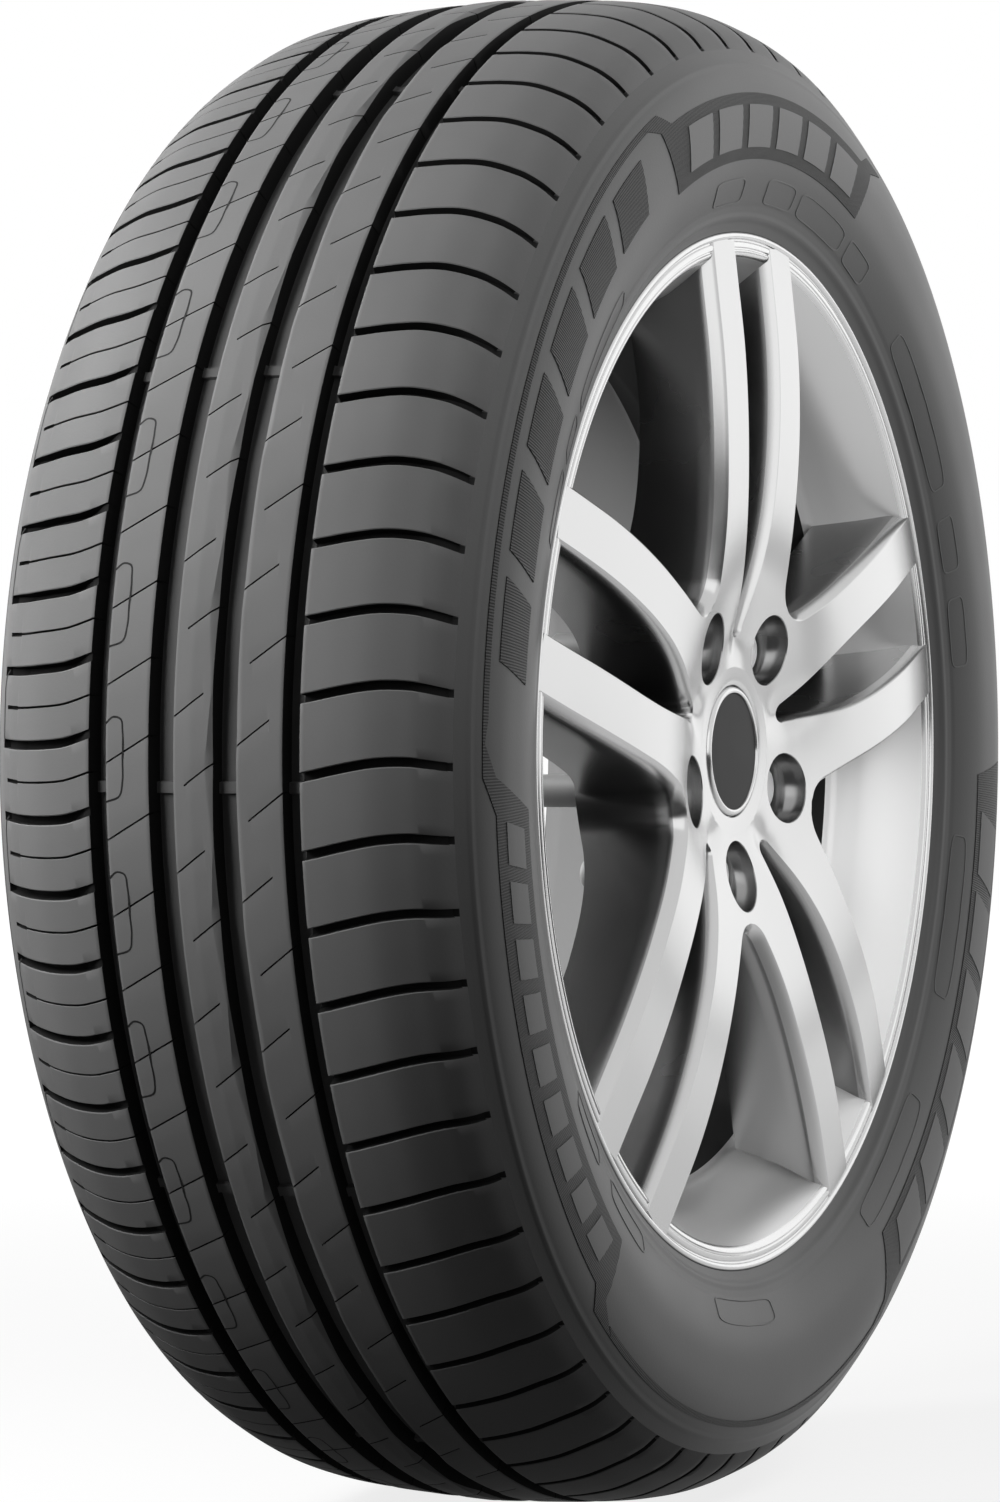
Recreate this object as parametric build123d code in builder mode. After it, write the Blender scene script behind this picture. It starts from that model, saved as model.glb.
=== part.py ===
"""Passenger-car tyre fitted on a twin-spoke alloy wheel, with its bolts, cap and valve.

Millimetres, +Z up, origin at the wheel's centre. The wheel turns about Y: the styled face looks
along -Y and the hub's mounting face along +Y. Profiles that are revolved are drawn on the XY plane,
where X is the radius and Y the place along the axle.
"""

import os
from math import atan, cos, degrees, hypot, radians, sin, tan

from build123d import *

# Tyre sizes: 205/60 R16 fitted on a rim seven inches wide
tyre_diameter = 652.0
section_width = 220.0
widest_radius = 266.0
tread_drop = 2.6
shoulder_middle = 64.0
shoulder_middle_drop = 5.8
shoulder_half_width = 82.0
shoulder_drop = 12.2
buttress_half_width = 99.0
buttress_drop = 26.4
tread_thickness = 15.0
shoulder_thickness = 19.0
sidewall_thickness = 7.0
bead_width = 19.0
bead_thickness = 13.0
bead_gap = 0.25

# Tread pattern
groove_depth = 7.5
outer_groove_offset = 42.0
outer_groove_width = 7.6
inner_groove_offset = 13.7
inner_groove_width = 10.8
pitch_count = 68
slot_width = 3.0
slot_depth = 5.5
slot_end_depth = 1.2

# Rim sizes
bead_seat_diameter = 405.6
rim_width = 177.8
flange_height = 18.2
flange_curl = 7.5
bead_seat_width = 20.0
bead_seat_taper = 5.0
well_depth = 18.0
well_outboard = 40.0
well_inboard = 6.0
well_ramp = 22.0
barrel_wall = 6.5
lip_width = 8.0
lip_step = 1.6

# Spoked face
spoke_pairs = 5
hub_face_offset = 45.0
hub_pad_radius = 73.0
collar_front = 86.0
collar_radius = 34.0
hub_edge_front = 89.0
dish_radius = 60.0
dish_front = 93.0
rise_radius = 100.0
rise_front = 100.5
crown_radius = 145.0
crown_front = 102.7
spoke_end_front = 96.7
spoke_back = 64.0
spoke_end_back = 59.0
slit_apex = 49.0
slit_apex_radius = 4.0
slit_neck = 75.0
slit_neck_half = 8.0
slit_waist = 100.0
slit_waist_half = 14.4
slit_middle = 150.0
slit_middle_half = 18.2
slit_end_half = 20.2
pair_waist_half = 36.6
pair_middle_half = 41.0
pair_end_half = 42.5
web_radius = 74.0
web_fillet = 17.0

# Hub, bolts and cap
hub_bore_radius = 31.7
hub_bore_depth = 18.0
bolt_circle = 108.0
bolt_pocket_radius = 14.25
bolt_pocket_mouth = 17.0
bolt_pocket_flare = 6.0
bolt_floor = 21.0
bolt_seat_radius = 12.0
bolt_seat_angle = 60.0
bolt_hole_radius = 7.6
bolt_head_flats = 17.0
bolt_head_height = 15.0
bolt_collar = 2.0
bolt_radius = 7.0
bolt_neck_radius = 6.4
bolt_reach = 27.0
seat_gap = 0.2
cap_bore_radius = 27.0
cap_radius = 28.2
cap_proud = 2.5
cap_plate = 2.0
cap_skirt = 12.0
cap_skirt_wall = 1.8
cap_gap = 0.25
disc_radius = 24.6
disc_thickness = 1.2

# Valve
valve_angle = 198.0
valve_hole_radius = 5.7
valve_gap = 0.15
valve_foot_radius = 9.0
valve_foot = 3.0
valve_shoulder_radius = 7.2
valve_shoulder = 4.0
valve_tip_radius = 3.9
valve_length = 24.0
valve_bore_radius = 2.2
valve_core_radius = 2.05
valve_core_length = 14.0
valve_cap_radius = 5.2
valve_cap_length = 9.0
valve_cap_overlap = 7.0

# Values worked out from the sizes above
tyre_radius = tyre_diameter / 2
half_section = section_width / 2
tread_edge_radius = tyre_radius - tread_drop
shoulder_radius = tyre_radius - shoulder_drop
buttress_radius = tyre_radius - buttress_drop
pitch_angle = 360 / pitch_count
seat_radius = bead_seat_diameter / 2
seat_slope = tan(radians(bead_seat_taper))
rim_half = rim_width / 2
flange_radius = seat_radius + flange_height
curl_start = flange_radius - flange_curl
curl_offset = rim_half + flange_curl
lip_front = curl_offset + lip_step
lip_inner = flange_radius - lip_width
well_radius = seat_radius - well_depth
well_inner = well_radius - barrel_wall
seat_end_radius = seat_radius - bead_seat_width * seat_slope
seat_end = rim_half - bead_seat_width
seat_inner = seat_end_radius - barrel_wall
ramp_end = well_outboard + well_ramp
spoke_end = lip_inner + lip_width / 3
half_pair = radians(180 / spoke_pairs)
bolt_seat_floor = hub_face_offset + bolt_floor
bolt_seat_lean = bolt_seat_angle / 2
bolt_places = PolarLocations(bolt_circle / 2, spoke_pairs, start_angle=90 + degrees(half_pair))
cap_front = collar_front + cap_proud


def across_window(along, out):
    """Turn a place along a spoke pair and out from its axis into the next window's own axes."""
    return (
        along * sin(half_pair) - out * cos(half_pair),
        along * cos(half_pair) + out * sin(half_pair),
    )


# Tyre: tread, sidewalls, liner and the two beads that grip the rim
toe = (seat_radius + bead_gap - bead_width * seat_slope, rim_half - bead_gap - bead_width)
heel = (seat_radius + bead_gap, rim_half - bead_gap)
clinch = (curl_start + bead_gap / 2, rim_half - bead_gap)
rubber_edge = (flange_radius + bead_gap, curl_offset - bead_gap / 2)
liner_foot = (flange_radius, rim_half - bead_thickness)
liner_widest = (widest_radius, half_section - sidewall_thickness)
liner_shoulder = (shoulder_radius - shoulder_thickness, shoulder_half_width - shoulder_thickness / 2)
liner_crown = (tyre_radius - tread_thickness, shoulder_middle - tread_thickness)

with BuildPart() as tyre:
    with BuildSketch(Plane.XY):
        with BuildLine():
            Line((tyre_radius, -inner_groove_offset), (tyre_radius, inner_groove_offset))
            Line((liner_crown[0], -liner_crown[1]), liner_crown)
            for side in (1, -1):
                Polyline(
                    (tyre_radius, side * inner_groove_offset),
                    (tread_edge_radius, side * outer_groove_offset),
                    (tyre_radius - shoulder_middle_drop, side * shoulder_middle),
                    (shoulder_radius, side * shoulder_half_width),
                    (buttress_radius, side * buttress_half_width),
                )
                Spline(
                    (buttress_radius, side * buttress_half_width),
                    (widest_radius, side * half_section),
                    (rubber_edge[0], side * rubber_edge[1]),
                )
                Polyline(
                    (rubber_edge[0], side * rubber_edge[1]),
                    (clinch[0], side * clinch[1]),
                    (heel[0], side * heel[1]),
                    (toe[0], side * toe[1]),
                    (liner_foot[0], side * liner_foot[1]),
                    (liner_widest[0], side * liner_widest[1]),
                    (liner_shoulder[0], side * liner_shoulder[1]),
                    (liner_crown[0], side * liner_crown[1]),
                )
        make_face()
    revolve(axis=Axis.Y)

    # Four grooves round the tread
    with BuildSketch(Plane.XY):
        for side in (1, -1):
            with Locations((tyre_radius, side * inner_groove_offset)):
                Rectangle(2 * groove_depth, inner_groove_width)
            with Locations((tread_edge_radius, side * outer_groove_offset)):
                Rectangle(2 * groove_depth, outer_groove_width)
    revolve(axis=Axis.Y, mode=Mode.SUBTRACT)

    # Slots from each outer groove over the shoulder to the buttress, once a pitch
    slot_planes = [Plane.XY.rotated((0, pitch * pitch_angle, 0)) for pitch in range(pitch_count)]
    slot_top = tyre_radius + 1
    for side in (1, -1):
        with BuildSketch(*slot_planes):
            with BuildLine():
                Polyline(
                    (slot_top, side * outer_groove_offset),
                    (tread_edge_radius - slot_depth, side * outer_groove_offset),
                    (shoulder_radius - slot_depth, side * (shoulder_half_width - slot_depth / 2)),
                    (buttress_radius, side * (buttress_half_width - slot_end_depth)),
                    (slot_top, side * (buttress_half_width - slot_end_depth)),
                    close=True,
                )
            make_face()
        revolve(axis=Axis.Y, revolution_arc=degrees(slot_width / tyre_radius), mode=Mode.SUBTRACT)

tyre.part.label = "tyre"


# Outline of the narrow slit inside a spoke pair, drawn upright
with BuildSketch() as slit:
    with BuildLine():
        for side in (1, -1):
            Spline(
                (side * slit_end_half, flange_radius),
                (side * slit_middle_half, slit_middle),
                (side * slit_waist_half, slit_waist),
                (side * slit_neck_half, slit_neck),
                (side * slit_apex_radius, slit_apex + slit_apex_radius),
            )
        ThreePointArc(
            (slit_apex_radius, slit_apex + slit_apex_radius),
            (0, slit_apex),
            (-slit_apex_radius, slit_apex + slit_apex_radius),
        )
        Line((slit_end_half, flange_radius), (-slit_end_half, flange_radius))
    make_face()

# Outline of the wide window between two spoke pairs, drawn upright
web_corner = (web_fillet * cos(half_pair), web_radius + web_fillet * (1 - sin(half_pair)))
window_end = across_window(flange_radius, pair_end_half)
window_middle = across_window(slit_middle, pair_middle_half)
window_waist = across_window(slit_waist, pair_waist_half)
with BuildSketch() as window:
    with BuildLine():
        for side in (1, -1):
            Spline(
                (side * window_end[0], window_end[1]),
                (side * window_middle[0], window_middle[1]),
                (side * window_waist[0], window_waist[1]),
                (side * web_corner[0], web_corner[1]),
            )
        ThreePointArc(web_corner, (0, web_radius), (-web_corner[0], web_corner[1]))
        ThreePointArc(window_end, (0, hypot(*window_end)), (-window_end[0], window_end[1]))
    make_face()

# Valve axis, square to the rim's outboard ramp and pointing out of the tyre
ramp_rise = seat_end_radius - well_radius
ramp_length = hypot(ramp_rise, well_ramp)
valve_radial = Vector(cos(radians(valve_angle)), 0, sin(radians(valve_angle)))
valve_tangent = Vector(-sin(radians(valve_angle)), 0, cos(radians(valve_angle)))
valve_direction = valve_radial * (-well_ramp / ramp_length) + Vector(0, -ramp_rise / ramp_length, 0)
valve_base = valve_radial * (well_radius + ramp_rise / 2) + Vector(0, -well_outboard - well_ramp / 2, 0)
valve_axis = Axis(valve_base, valve_direction)
valve_profile = Plane(valve_base, x_dir=valve_tangent, z_dir=valve_tangent.cross(valve_direction))
valve_square = Plane(valve_base, x_dir=valve_tangent, z_dir=valve_direction)

# Wheel: the dished face is cut into spokes first and then joined to the barrel
with BuildPart() as wheel:
    with BuildSketch(Plane.XY):
        with BuildLine():
            Polyline(
                (spoke_end, -spoke_end_front),
                (spoke_end, -curl_offset + lip_step),
                (seat_radius, -rim_half - lip_step),
                (seat_inner + barrel_wall / 3, -rim_half + flange_curl),
                (seat_inner + barrel_wall / 3, -spoke_end_back),
                (crown_radius, -spoke_back),
                (hub_pad_radius + hub_bore_depth / 2, -hub_face_offset - hub_bore_depth / 2),
                (hub_pad_radius, -hub_face_offset),
                (hub_bore_radius, -hub_face_offset),
                (hub_bore_radius, -hub_face_offset - hub_bore_depth),
                (cap_bore_radius, -hub_face_offset - hub_bore_depth),
                (cap_bore_radius, -collar_front),
                (collar_radius, -collar_front),
                (collar_radius + lip_step, -hub_edge_front),
            )
            Spline(
                (collar_radius + lip_step, -hub_edge_front),
                (dish_radius, -dish_front),
                (rise_radius, -rise_front),
                (crown_radius, -crown_front),
                (spoke_end, -spoke_end_front),
            )
        make_face()
    revolve(axis=Axis.Y)

    # Slits and windows leave the five pairs of spokes
    with BuildSketch(Plane.XZ):
        with PolarLocations(0, spoke_pairs):
            add(slit.sketch)
        with PolarLocations(0, spoke_pairs, start_angle=degrees(half_pair)):
            add(window.sketch)
    extrude(amount=crown_front + lip_width, mode=Mode.SUBTRACT)

    # Barrel with bead seats, drop well and both flanges
    with BuildSketch(Plane.XY):
        with BuildLine():
            Polyline(
                (flange_radius, -lip_front),
                (flange_radius, -curl_offset),
                (curl_start, -rim_half),
                (seat_radius, -rim_half),
                (seat_end_radius, -seat_end),
                (seat_end_radius, -ramp_end),
                (well_radius, -well_outboard),
                (well_radius, -well_inboard),
                (seat_end_radius, well_ramp - well_inboard),
                (seat_end_radius, seat_end),
                (seat_radius, rim_half),
                (curl_start, rim_half),
                (flange_radius, curl_offset),
                (flange_radius, lip_front),
                (lip_inner, lip_front),
                (seat_inner, rim_half - barrel_wall),
                (seat_inner, well_ramp - well_inboard),
                (well_inner, -well_inboard),
                (well_inner, -well_outboard),
                (seat_inner, -ramp_end),
                (seat_inner, -rim_half),
                (lip_inner, -lip_front),
                close=True,
            )
        make_face()
    revolve(axis=Axis.Y)

    # Bolt pockets with flared mouths, cone seats and through holes
    with BuildSketch(Plane.XZ.offset(bolt_seat_floor)):
        with bolt_places:
            Circle(bolt_pocket_radius)
    extrude(amount=crown_front - bolt_seat_floor, mode=Mode.SUBTRACT)
    with BuildSketch(Plane.XZ.offset(dish_front)):
        with bolt_places:
            Circle(bolt_pocket_mouth)
    extrude(amount=bolt_pocket_flare, mode=Mode.SUBTRACT)
    with BuildSketch(Plane.XZ.offset(dish_front)):
        with bolt_places:
            Circle(bolt_pocket_mouth)
    extrude(
        amount=-bolt_pocket_flare,
        taper=degrees(atan((bolt_pocket_mouth - bolt_pocket_radius) / bolt_pocket_flare)),
        mode=Mode.SUBTRACT,
    )
    with BuildSketch(Plane.XZ.offset(bolt_seat_floor)):
        with bolt_places:
            Circle(bolt_seat_radius)
    extrude(
        amount=-(bolt_seat_radius - bolt_hole_radius) / tan(radians(bolt_seat_lean)),
        taper=bolt_seat_lean,
        mode=Mode.SUBTRACT,
    )
    with BuildSketch(Plane.XZ.offset(hub_face_offset)):
        with bolt_places:
            Circle(bolt_hole_radius)
    extrude(amount=bolt_floor, mode=Mode.SUBTRACT)

    # Valve hole through the ramp
    with BuildSketch(valve_square):
        Circle(valve_hole_radius)
    extrude(amount=2 * barrel_wall, both=True, mode=Mode.SUBTRACT)

wheel.part.label = "wheel"


# Wheel bolts: hexagon head, cone seat, neck inside the wheel and threaded end behind it
bolt_under = bolt_seat_floor + seat_gap
cone_depth = (bolt_seat_radius - bolt_neck_radius) / tan(radians(bolt_seat_lean))
with BuildPart() as wheel_bolts:
    with BuildSketch(Plane.XZ.offset(bolt_under + bolt_collar)):
        with bolt_places:
            RegularPolygon(bolt_head_flats / 2, 6, major_radius=False)
    extrude(amount=bolt_head_height)
    with BuildSketch(Plane.XZ.offset(bolt_under)):
        with bolt_places:
            Circle(bolt_seat_radius)
    extrude(amount=bolt_collar)
    with BuildSketch(Plane.XZ.offset(bolt_under)):
        with bolt_places:
            Circle(bolt_seat_radius)
    extrude(amount=-cone_depth, taper=bolt_seat_lean)
    with BuildSketch(Plane.XZ.offset(bolt_under - cone_depth / 2)):
        with bolt_places:
            Circle(bolt_neck_radius)
    extrude(amount=-(bolt_under - cone_depth / 2 - hub_face_offset))
    with BuildSketch(Plane.XZ.offset(hub_face_offset)):
        with bolt_places:
            Circle(bolt_radius)
    extrude(amount=-bolt_reach)

wheel_bolts.part.label = "wheel_bolts"


# Centre cap: front ring, plate behind the disc, and the skirt that clips into the hub
plate_front = cap_front - disc_thickness
plate_back = plate_front - cap_plate
skirt_radius = cap_bore_radius - cap_gap
with BuildPart() as centre_cap:
    with BuildSketch(Plane.XY):
        with BuildLine():
            Polyline(
                (0, -plate_front),
                (disc_radius + cap_gap, -plate_front),
                (disc_radius + cap_gap, -cap_front),
                (cap_radius - cap_gap, -cap_front),
                (cap_radius, -cap_front + cap_gap),
                (cap_radius, -collar_front - cap_gap),
                (skirt_radius, -collar_front - cap_gap),
                (skirt_radius, -collar_front + cap_skirt),
                (skirt_radius - cap_skirt_wall, -collar_front + cap_skirt),
                (skirt_radius - cap_skirt_wall, -plate_back),
                (0, -plate_back),
                close=True,
            )
        make_face()
    revolve(axis=Axis.Y)

centre_cap.part.label = "centre_cap"


# Disc let into the cap's front
with BuildPart() as cap_disc:
    with BuildSketch(Plane.XZ.offset(plate_front)):
        Circle(disc_radius)
    extrude(amount=disc_thickness)

cap_disc.part.label = "cap_disc"


# Snap-in valve: foot inside the tyre, neck through the rim, shoulder outside it and a stem
rim_crossing = barrel_wall * well_ramp / ramp_length + 2 * valve_gap
with BuildPart() as valve_body:
    with BuildSketch(valve_profile):
        with BuildLine():
            Polyline(
                (valve_bore_radius, -valve_gap - valve_foot),
                (valve_foot_radius, -valve_gap - valve_foot),
                (valve_foot_radius, -valve_gap),
                (valve_hole_radius - valve_gap, -valve_gap),
                (valve_hole_radius - valve_gap, rim_crossing),
                (valve_shoulder_radius, rim_crossing),
                (valve_tip_radius, rim_crossing + valve_shoulder),
                (valve_tip_radius, valve_length),
                (valve_bore_radius, valve_length),
                close=True,
            )
        make_face()
    revolve(axis=valve_axis)

valve_body.part.label = "valve_body"


# Valve core inside the stem
with BuildPart() as valve_core:
    with BuildSketch(valve_square.offset(valve_length - valve_core_length)):
        Circle(valve_core_radius)
    extrude(amount=valve_core_length)

valve_core.part.label = "valve_core"


# Dust cap over the end of the stem
cap_foot = valve_length - valve_cap_overlap
with BuildPart() as valve_cap:
    with BuildSketch(valve_profile):
        with BuildLine():
            Polyline(
                (valve_tip_radius + valve_gap, cap_foot),
                (valve_cap_radius, cap_foot),
                (valve_cap_radius, cap_foot + valve_cap_length),
                (0, cap_foot + valve_cap_length),
                (0, valve_length + valve_gap),
                (valve_tip_radius + valve_gap, valve_length + valve_gap),
                close=True,
            )
        make_face()
    revolve(axis=valve_axis)

valve_cap.part.label = "valve_cap"


if __name__ == "__main__":
    os.makedirs("parts", exist_ok=True)
    export_step(tyre.part, "parts/tyre.step")
    export_step(wheel.part, "parts/wheel.step")
    export_step(wheel_bolts.part, "parts/wheel_bolts.step")
    export_step(centre_cap.part, "parts/centre_cap.step")
    export_step(cap_disc.part, "parts/cap_disc.step")
    export_step(valve_body.part, "parts/valve_body.step")
    export_step(valve_core.part, "parts/valve_core.step")
    export_step(valve_cap.part, "parts/valve_cap.step")
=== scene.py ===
"""Studio view of a road-car tyre on a twin-spoke alloy wheel.

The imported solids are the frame. This script adds the forms that they leave plain: the tread's bowed
slots, sipes and wear bars, the sidewall's raised fields, the bevelled spokes, the bolt heads and the cap.
Lengths inside the classes are millimetres and become metres when a mesh is written. Angles round the
tread start at the -X side, which faces the camera, and grow towards +Z. Angles on the styled face start
at +X and grow towards +Z.
"""

import logging
import math
from dataclasses import dataclass, field, fields, replace
from enum import Enum
from typing import Callable, Optional, Sequence

import bmesh
import bpy
import numpy as np
from mathutils import Matrix

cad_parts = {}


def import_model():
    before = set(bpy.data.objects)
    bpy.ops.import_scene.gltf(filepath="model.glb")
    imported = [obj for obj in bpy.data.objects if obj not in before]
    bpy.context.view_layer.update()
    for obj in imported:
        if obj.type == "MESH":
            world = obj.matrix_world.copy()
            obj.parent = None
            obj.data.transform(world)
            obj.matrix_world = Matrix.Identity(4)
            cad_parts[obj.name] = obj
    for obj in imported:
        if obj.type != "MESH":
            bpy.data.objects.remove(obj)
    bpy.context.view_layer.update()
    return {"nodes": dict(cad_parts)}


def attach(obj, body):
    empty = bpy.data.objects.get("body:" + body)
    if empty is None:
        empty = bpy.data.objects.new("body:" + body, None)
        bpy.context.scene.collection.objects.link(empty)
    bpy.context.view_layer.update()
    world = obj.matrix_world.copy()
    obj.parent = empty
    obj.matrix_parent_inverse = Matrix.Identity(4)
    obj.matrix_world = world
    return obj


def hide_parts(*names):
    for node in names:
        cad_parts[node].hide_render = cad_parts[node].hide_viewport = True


LOG = logging.getLogger("tyre_and_wheel")
MILLIMETRE = 0.001
BODY = "root"
IMAGE_WIDTH = 1000
IMAGE_HEIGHT = 1502
PATTERN = "pattern"
OUTBOARD = -1
INBOARD = 1

Curve = Callable[[np.ndarray], np.ndarray]
Knots = tuple[float, ...]
Profile = tuple[tuple[float, float], ...]
Paints = dict[str, bpy.types.Material]


def smooth_curve(knots_x: Sequence[float], knots_y: Sequence[float]) -> Curve:
    """Return a cubic Hermite curve through the knots, with slopes taken from the neighbouring knots.

    Args:
        knots_x: Increasing places of the knots.
        knots_y: Heights of the knots.

    Returns:
        A function from an array of places to an array of heights.
    """
    x = np.asarray(knots_x, float)
    y = np.asarray(knots_y, float)
    slopes = np.gradient(y, x)

    def evaluate(places: np.ndarray) -> np.ndarray:
        """Return the curve's heights, a blend of two heights and two slopes with cubic weights.

        Args:
            places: Places on the curve, held to the knots' range.

        Returns:
            Heights at the places.
        """
        p = np.clip(np.asarray(places, float), x[0], x[-1])
        i = np.clip(np.searchsorted(x, p, side="right") - 1, 0, len(x) - 2)
        span = x[i + 1] - x[i]
        t = (p - x[i]) / span
        return (
            (1 + 2 * t) * (1 - t) ** 2 * y[i]
            + t * (1 - t) ** 2 * span * slopes[i]
            + t * t * (3 - 2 * t) * y[i + 1]
            + t * t * (t - 1) * span * slopes[i + 1]
        )

    return evaluate


def fill_gaps(lines: Sequence[float], period: float, widest: float) -> np.ndarray:
    """Return grid lines over one period with evenly spaced lines added in the wide gaps.

    Args:
        lines: Lines that must be kept, in any order.
        period: Length after which the pattern repeats.
        widest: Widest gap allowed between two lines.

    Returns:
        Increasing lines, all within one period of the first.
    """
    kept = np.sort(np.asarray(lines, float))
    following = np.append(kept[1:], kept[0] + period)
    pieces = [
        np.linspace(a, b, max(math.ceil((b - a) / widest), 1), endpoint=False)
        for a, b in zip(kept, following)
    ]
    return np.concatenate(pieces)


def about_axle(radius: np.ndarray, offset: np.ndarray, angle: np.ndarray) -> np.ndarray:
    """Return points turned about the axle.

    X is minus the radius times the cosine of the angle, and Z is the radius times its sine.

    Args:
        radius: Distances from the axle.
        offset: Places along the axle.
        angle: Tread angles in degrees.

    Returns:
        Points in metres.
    """
    turn = np.radians(angle)
    x = -radius * np.cos(turn)
    z = radius * np.sin(turn)
    return np.stack(np.broadcast_arrays(x, offset, z), -1) * MILLIMETRE


@dataclass
class SurfaceGrid:
    """A surface worked out on a grid of two parameters.

    Attributes:
        points: Rows by columns by three, in metres.
        closed: The last column joins the first.
        reverse: The faces are turned round.
        finish: Index of the finish among those of the object.
        pattern: Rows by columns by two places for the finish of an open grid.
        depth: Rows by columns of depth, where deep faces take the next finish, a darker one that paints shade
            into recesses.
        deep: Depth beyond which a face counts as deep.
    """

    points: np.ndarray
    closed: bool = False
    reverse: bool = False
    finish: int = 0
    pattern: Optional[np.ndarray] = None
    depth: Optional[np.ndarray] = None
    deep: float = 1.2

    def quads(self) -> np.ndarray:
        """Work out the quads between neighbouring rows and columns.

        Returns:
            The corner indices of every quad, first along the columns and then along the rows.
        """
        rows, columns = self.points.shape[:2]
        row = np.arange(rows - 1)[:, None]
        column = np.arange(columns if self.closed else columns - 1)[None, :]
        after = (column + 1) % columns
        corners = [row * columns + column, row * columns + after]
        corners += [(row + 1) * columns + after, (row + 1) * columns + column]
        found = np.stack(np.broadcast_arrays(*corners), -1).reshape(-1, 4)
        return found[:, ::-1] if self.reverse else found

    def finish_indices(self) -> np.ndarray:
        """Work out the quads' finishes from the mean depths of their corners.

        Returns:
            The finish of every quad, the next one where it is deep.
        """
        quads = self.quads()
        indices = np.full(len(quads), self.finish, np.int32)
        if self.depth is not None:
            indices += self.depth.ravel()[quads].mean(axis=1) > self.deep
        return indices

    def corner_pattern(self) -> np.ndarray:
        """Return the pattern's place at every corner of every quad."""
        quads = self.quads()
        return np.zeros((*quads.shape, 2)) if self.pattern is None else self.pattern.reshape(-1, 2)[quads]


def link_object(name: str, data: bpy.types.ID) -> bpy.types.Object:
    """Make an object of a mesh, camera or light.

    Args:
        name: Name of the object.
        data: What the object shows.

    Returns:
        The object, linked to the scene at the origin.
    """
    made = bpy.data.objects.new(name, data)
    bpy.context.scene.collection.objects.link(made)
    return made


def build_object(
    name: str,
    grids: Sequence[SurfaceGrid],
    finishes: Sequence[bpy.types.Material],
    crease: float = 35.0,
    weld: float = 0.0,
) -> bpy.types.Object:
    """Make one mesh object of several surface grids.

    Args:
        name: Name of the object.
        grids: Surfaces to join.
        finishes: Materials that the grids' finish indices name.
        crease: Edges that turn more than this many degrees stay sharp.
        weld: Points closer than this many millimetres are merged, or 0 to keep them all.

    Returns:
        The object, linked to the scene at the origin.
    """
    sizes = [grid.points.shape[0] * grid.points.shape[1] for grid in grids]
    starts = np.concatenate([[0], np.cumsum(sizes)[:-1]])
    vertices = np.concatenate([grid.points.reshape(-1, 3) for grid in grids])
    quads = np.concatenate([grid.quads() + start for grid, start in zip(grids, starts)])
    slots = np.concatenate([grid.finish_indices() for grid in grids])
    pattern = np.concatenate([grid.corner_pattern() for grid in grids])
    mesh = bpy.data.meshes.new(name)
    mesh.vertices.add(len(vertices))
    mesh.vertices.foreach_set("co", vertices.astype(np.float32).ravel())
    mesh.loops.add(quads.size)
    mesh.loops.foreach_set("vertex_index", quads.astype(np.int32).ravel())
    mesh.polygons.add(len(quads))
    mesh.polygons.foreach_set("loop_start", np.arange(0, quads.size, 4, dtype=np.int32))
    mesh.polygons.foreach_set("material_index", slots)
    mesh.update(calc_edges=True)
    layer = mesh.uv_layers.new(name=PATTERN)
    layer.uv.foreach_set("vector", pattern.astype(np.float32).ravel())
    for finish in finishes:
        mesh.materials.append(finish)
    if weld:
        work = bmesh.new()
        work.from_mesh(mesh)
        bmesh.ops.remove_doubles(work, verts=work.verts, dist=weld * MILLIMETRE)
        work.to_mesh(mesh)
        work.free()
    mesh.validate()
    mesh.shade_smooth()
    mesh.set_sharp_from_angle(angle=math.radians(crease))
    return link_object(name, mesh)


def revolved(profile: Profile, columns: int, finish: int = 0) -> SurfaceGrid:
    """Return a profile of (radius, offset) points turned about the axle.

    Args:
        profile: Points in millimetres, in the order that faces outwards.
        columns: Number of steps round the axle.
        finish: Index of the finish.

    Returns:
        A grid closed round the axle.
    """
    places = np.asarray(profile, float)
    angles = np.linspace(0.0, 360.0, columns, endpoint=False)[None, :]
    return SurfaceGrid(about_axle(places[:, :1], places[:, 1:], angles), closed=True, finish=finish)


def add_node(
    tree: bpy.types.NodeTree, kind: str, inputs: dict[object, object], **settings: object
) -> bpy.types.Node:
    """Add a shader node with its settings, and with its inputs linked or set.

    Args:
        tree: Tree that gets the node.
        kind: Type of the node, without its ShaderNode prefix.
        inputs: Sockets to link from or values to set, by the input's name or number.
        settings: Values of the node's own properties.

    Returns:
        The node.
    """
    node = tree.nodes.new("ShaderNode" + kind)
    for name, value in settings.items():
        setattr(node, name, value)
    for key, value in inputs.items():
        if isinstance(value, bpy.types.NodeSocket):
            tree.links.new(value, node.inputs[key])
        else:
            node.inputs[key].default_value = value
    return node


def add_math(
    tree: bpy.types.NodeTree, operation: str, first: object, second: object
) -> bpy.types.NodeSocket:
    """Return the result of a new math node over two sockets or numbers."""
    return add_node(tree, "Math", {0: first, 1: second}, operation=operation).outputs["Value"]


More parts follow.
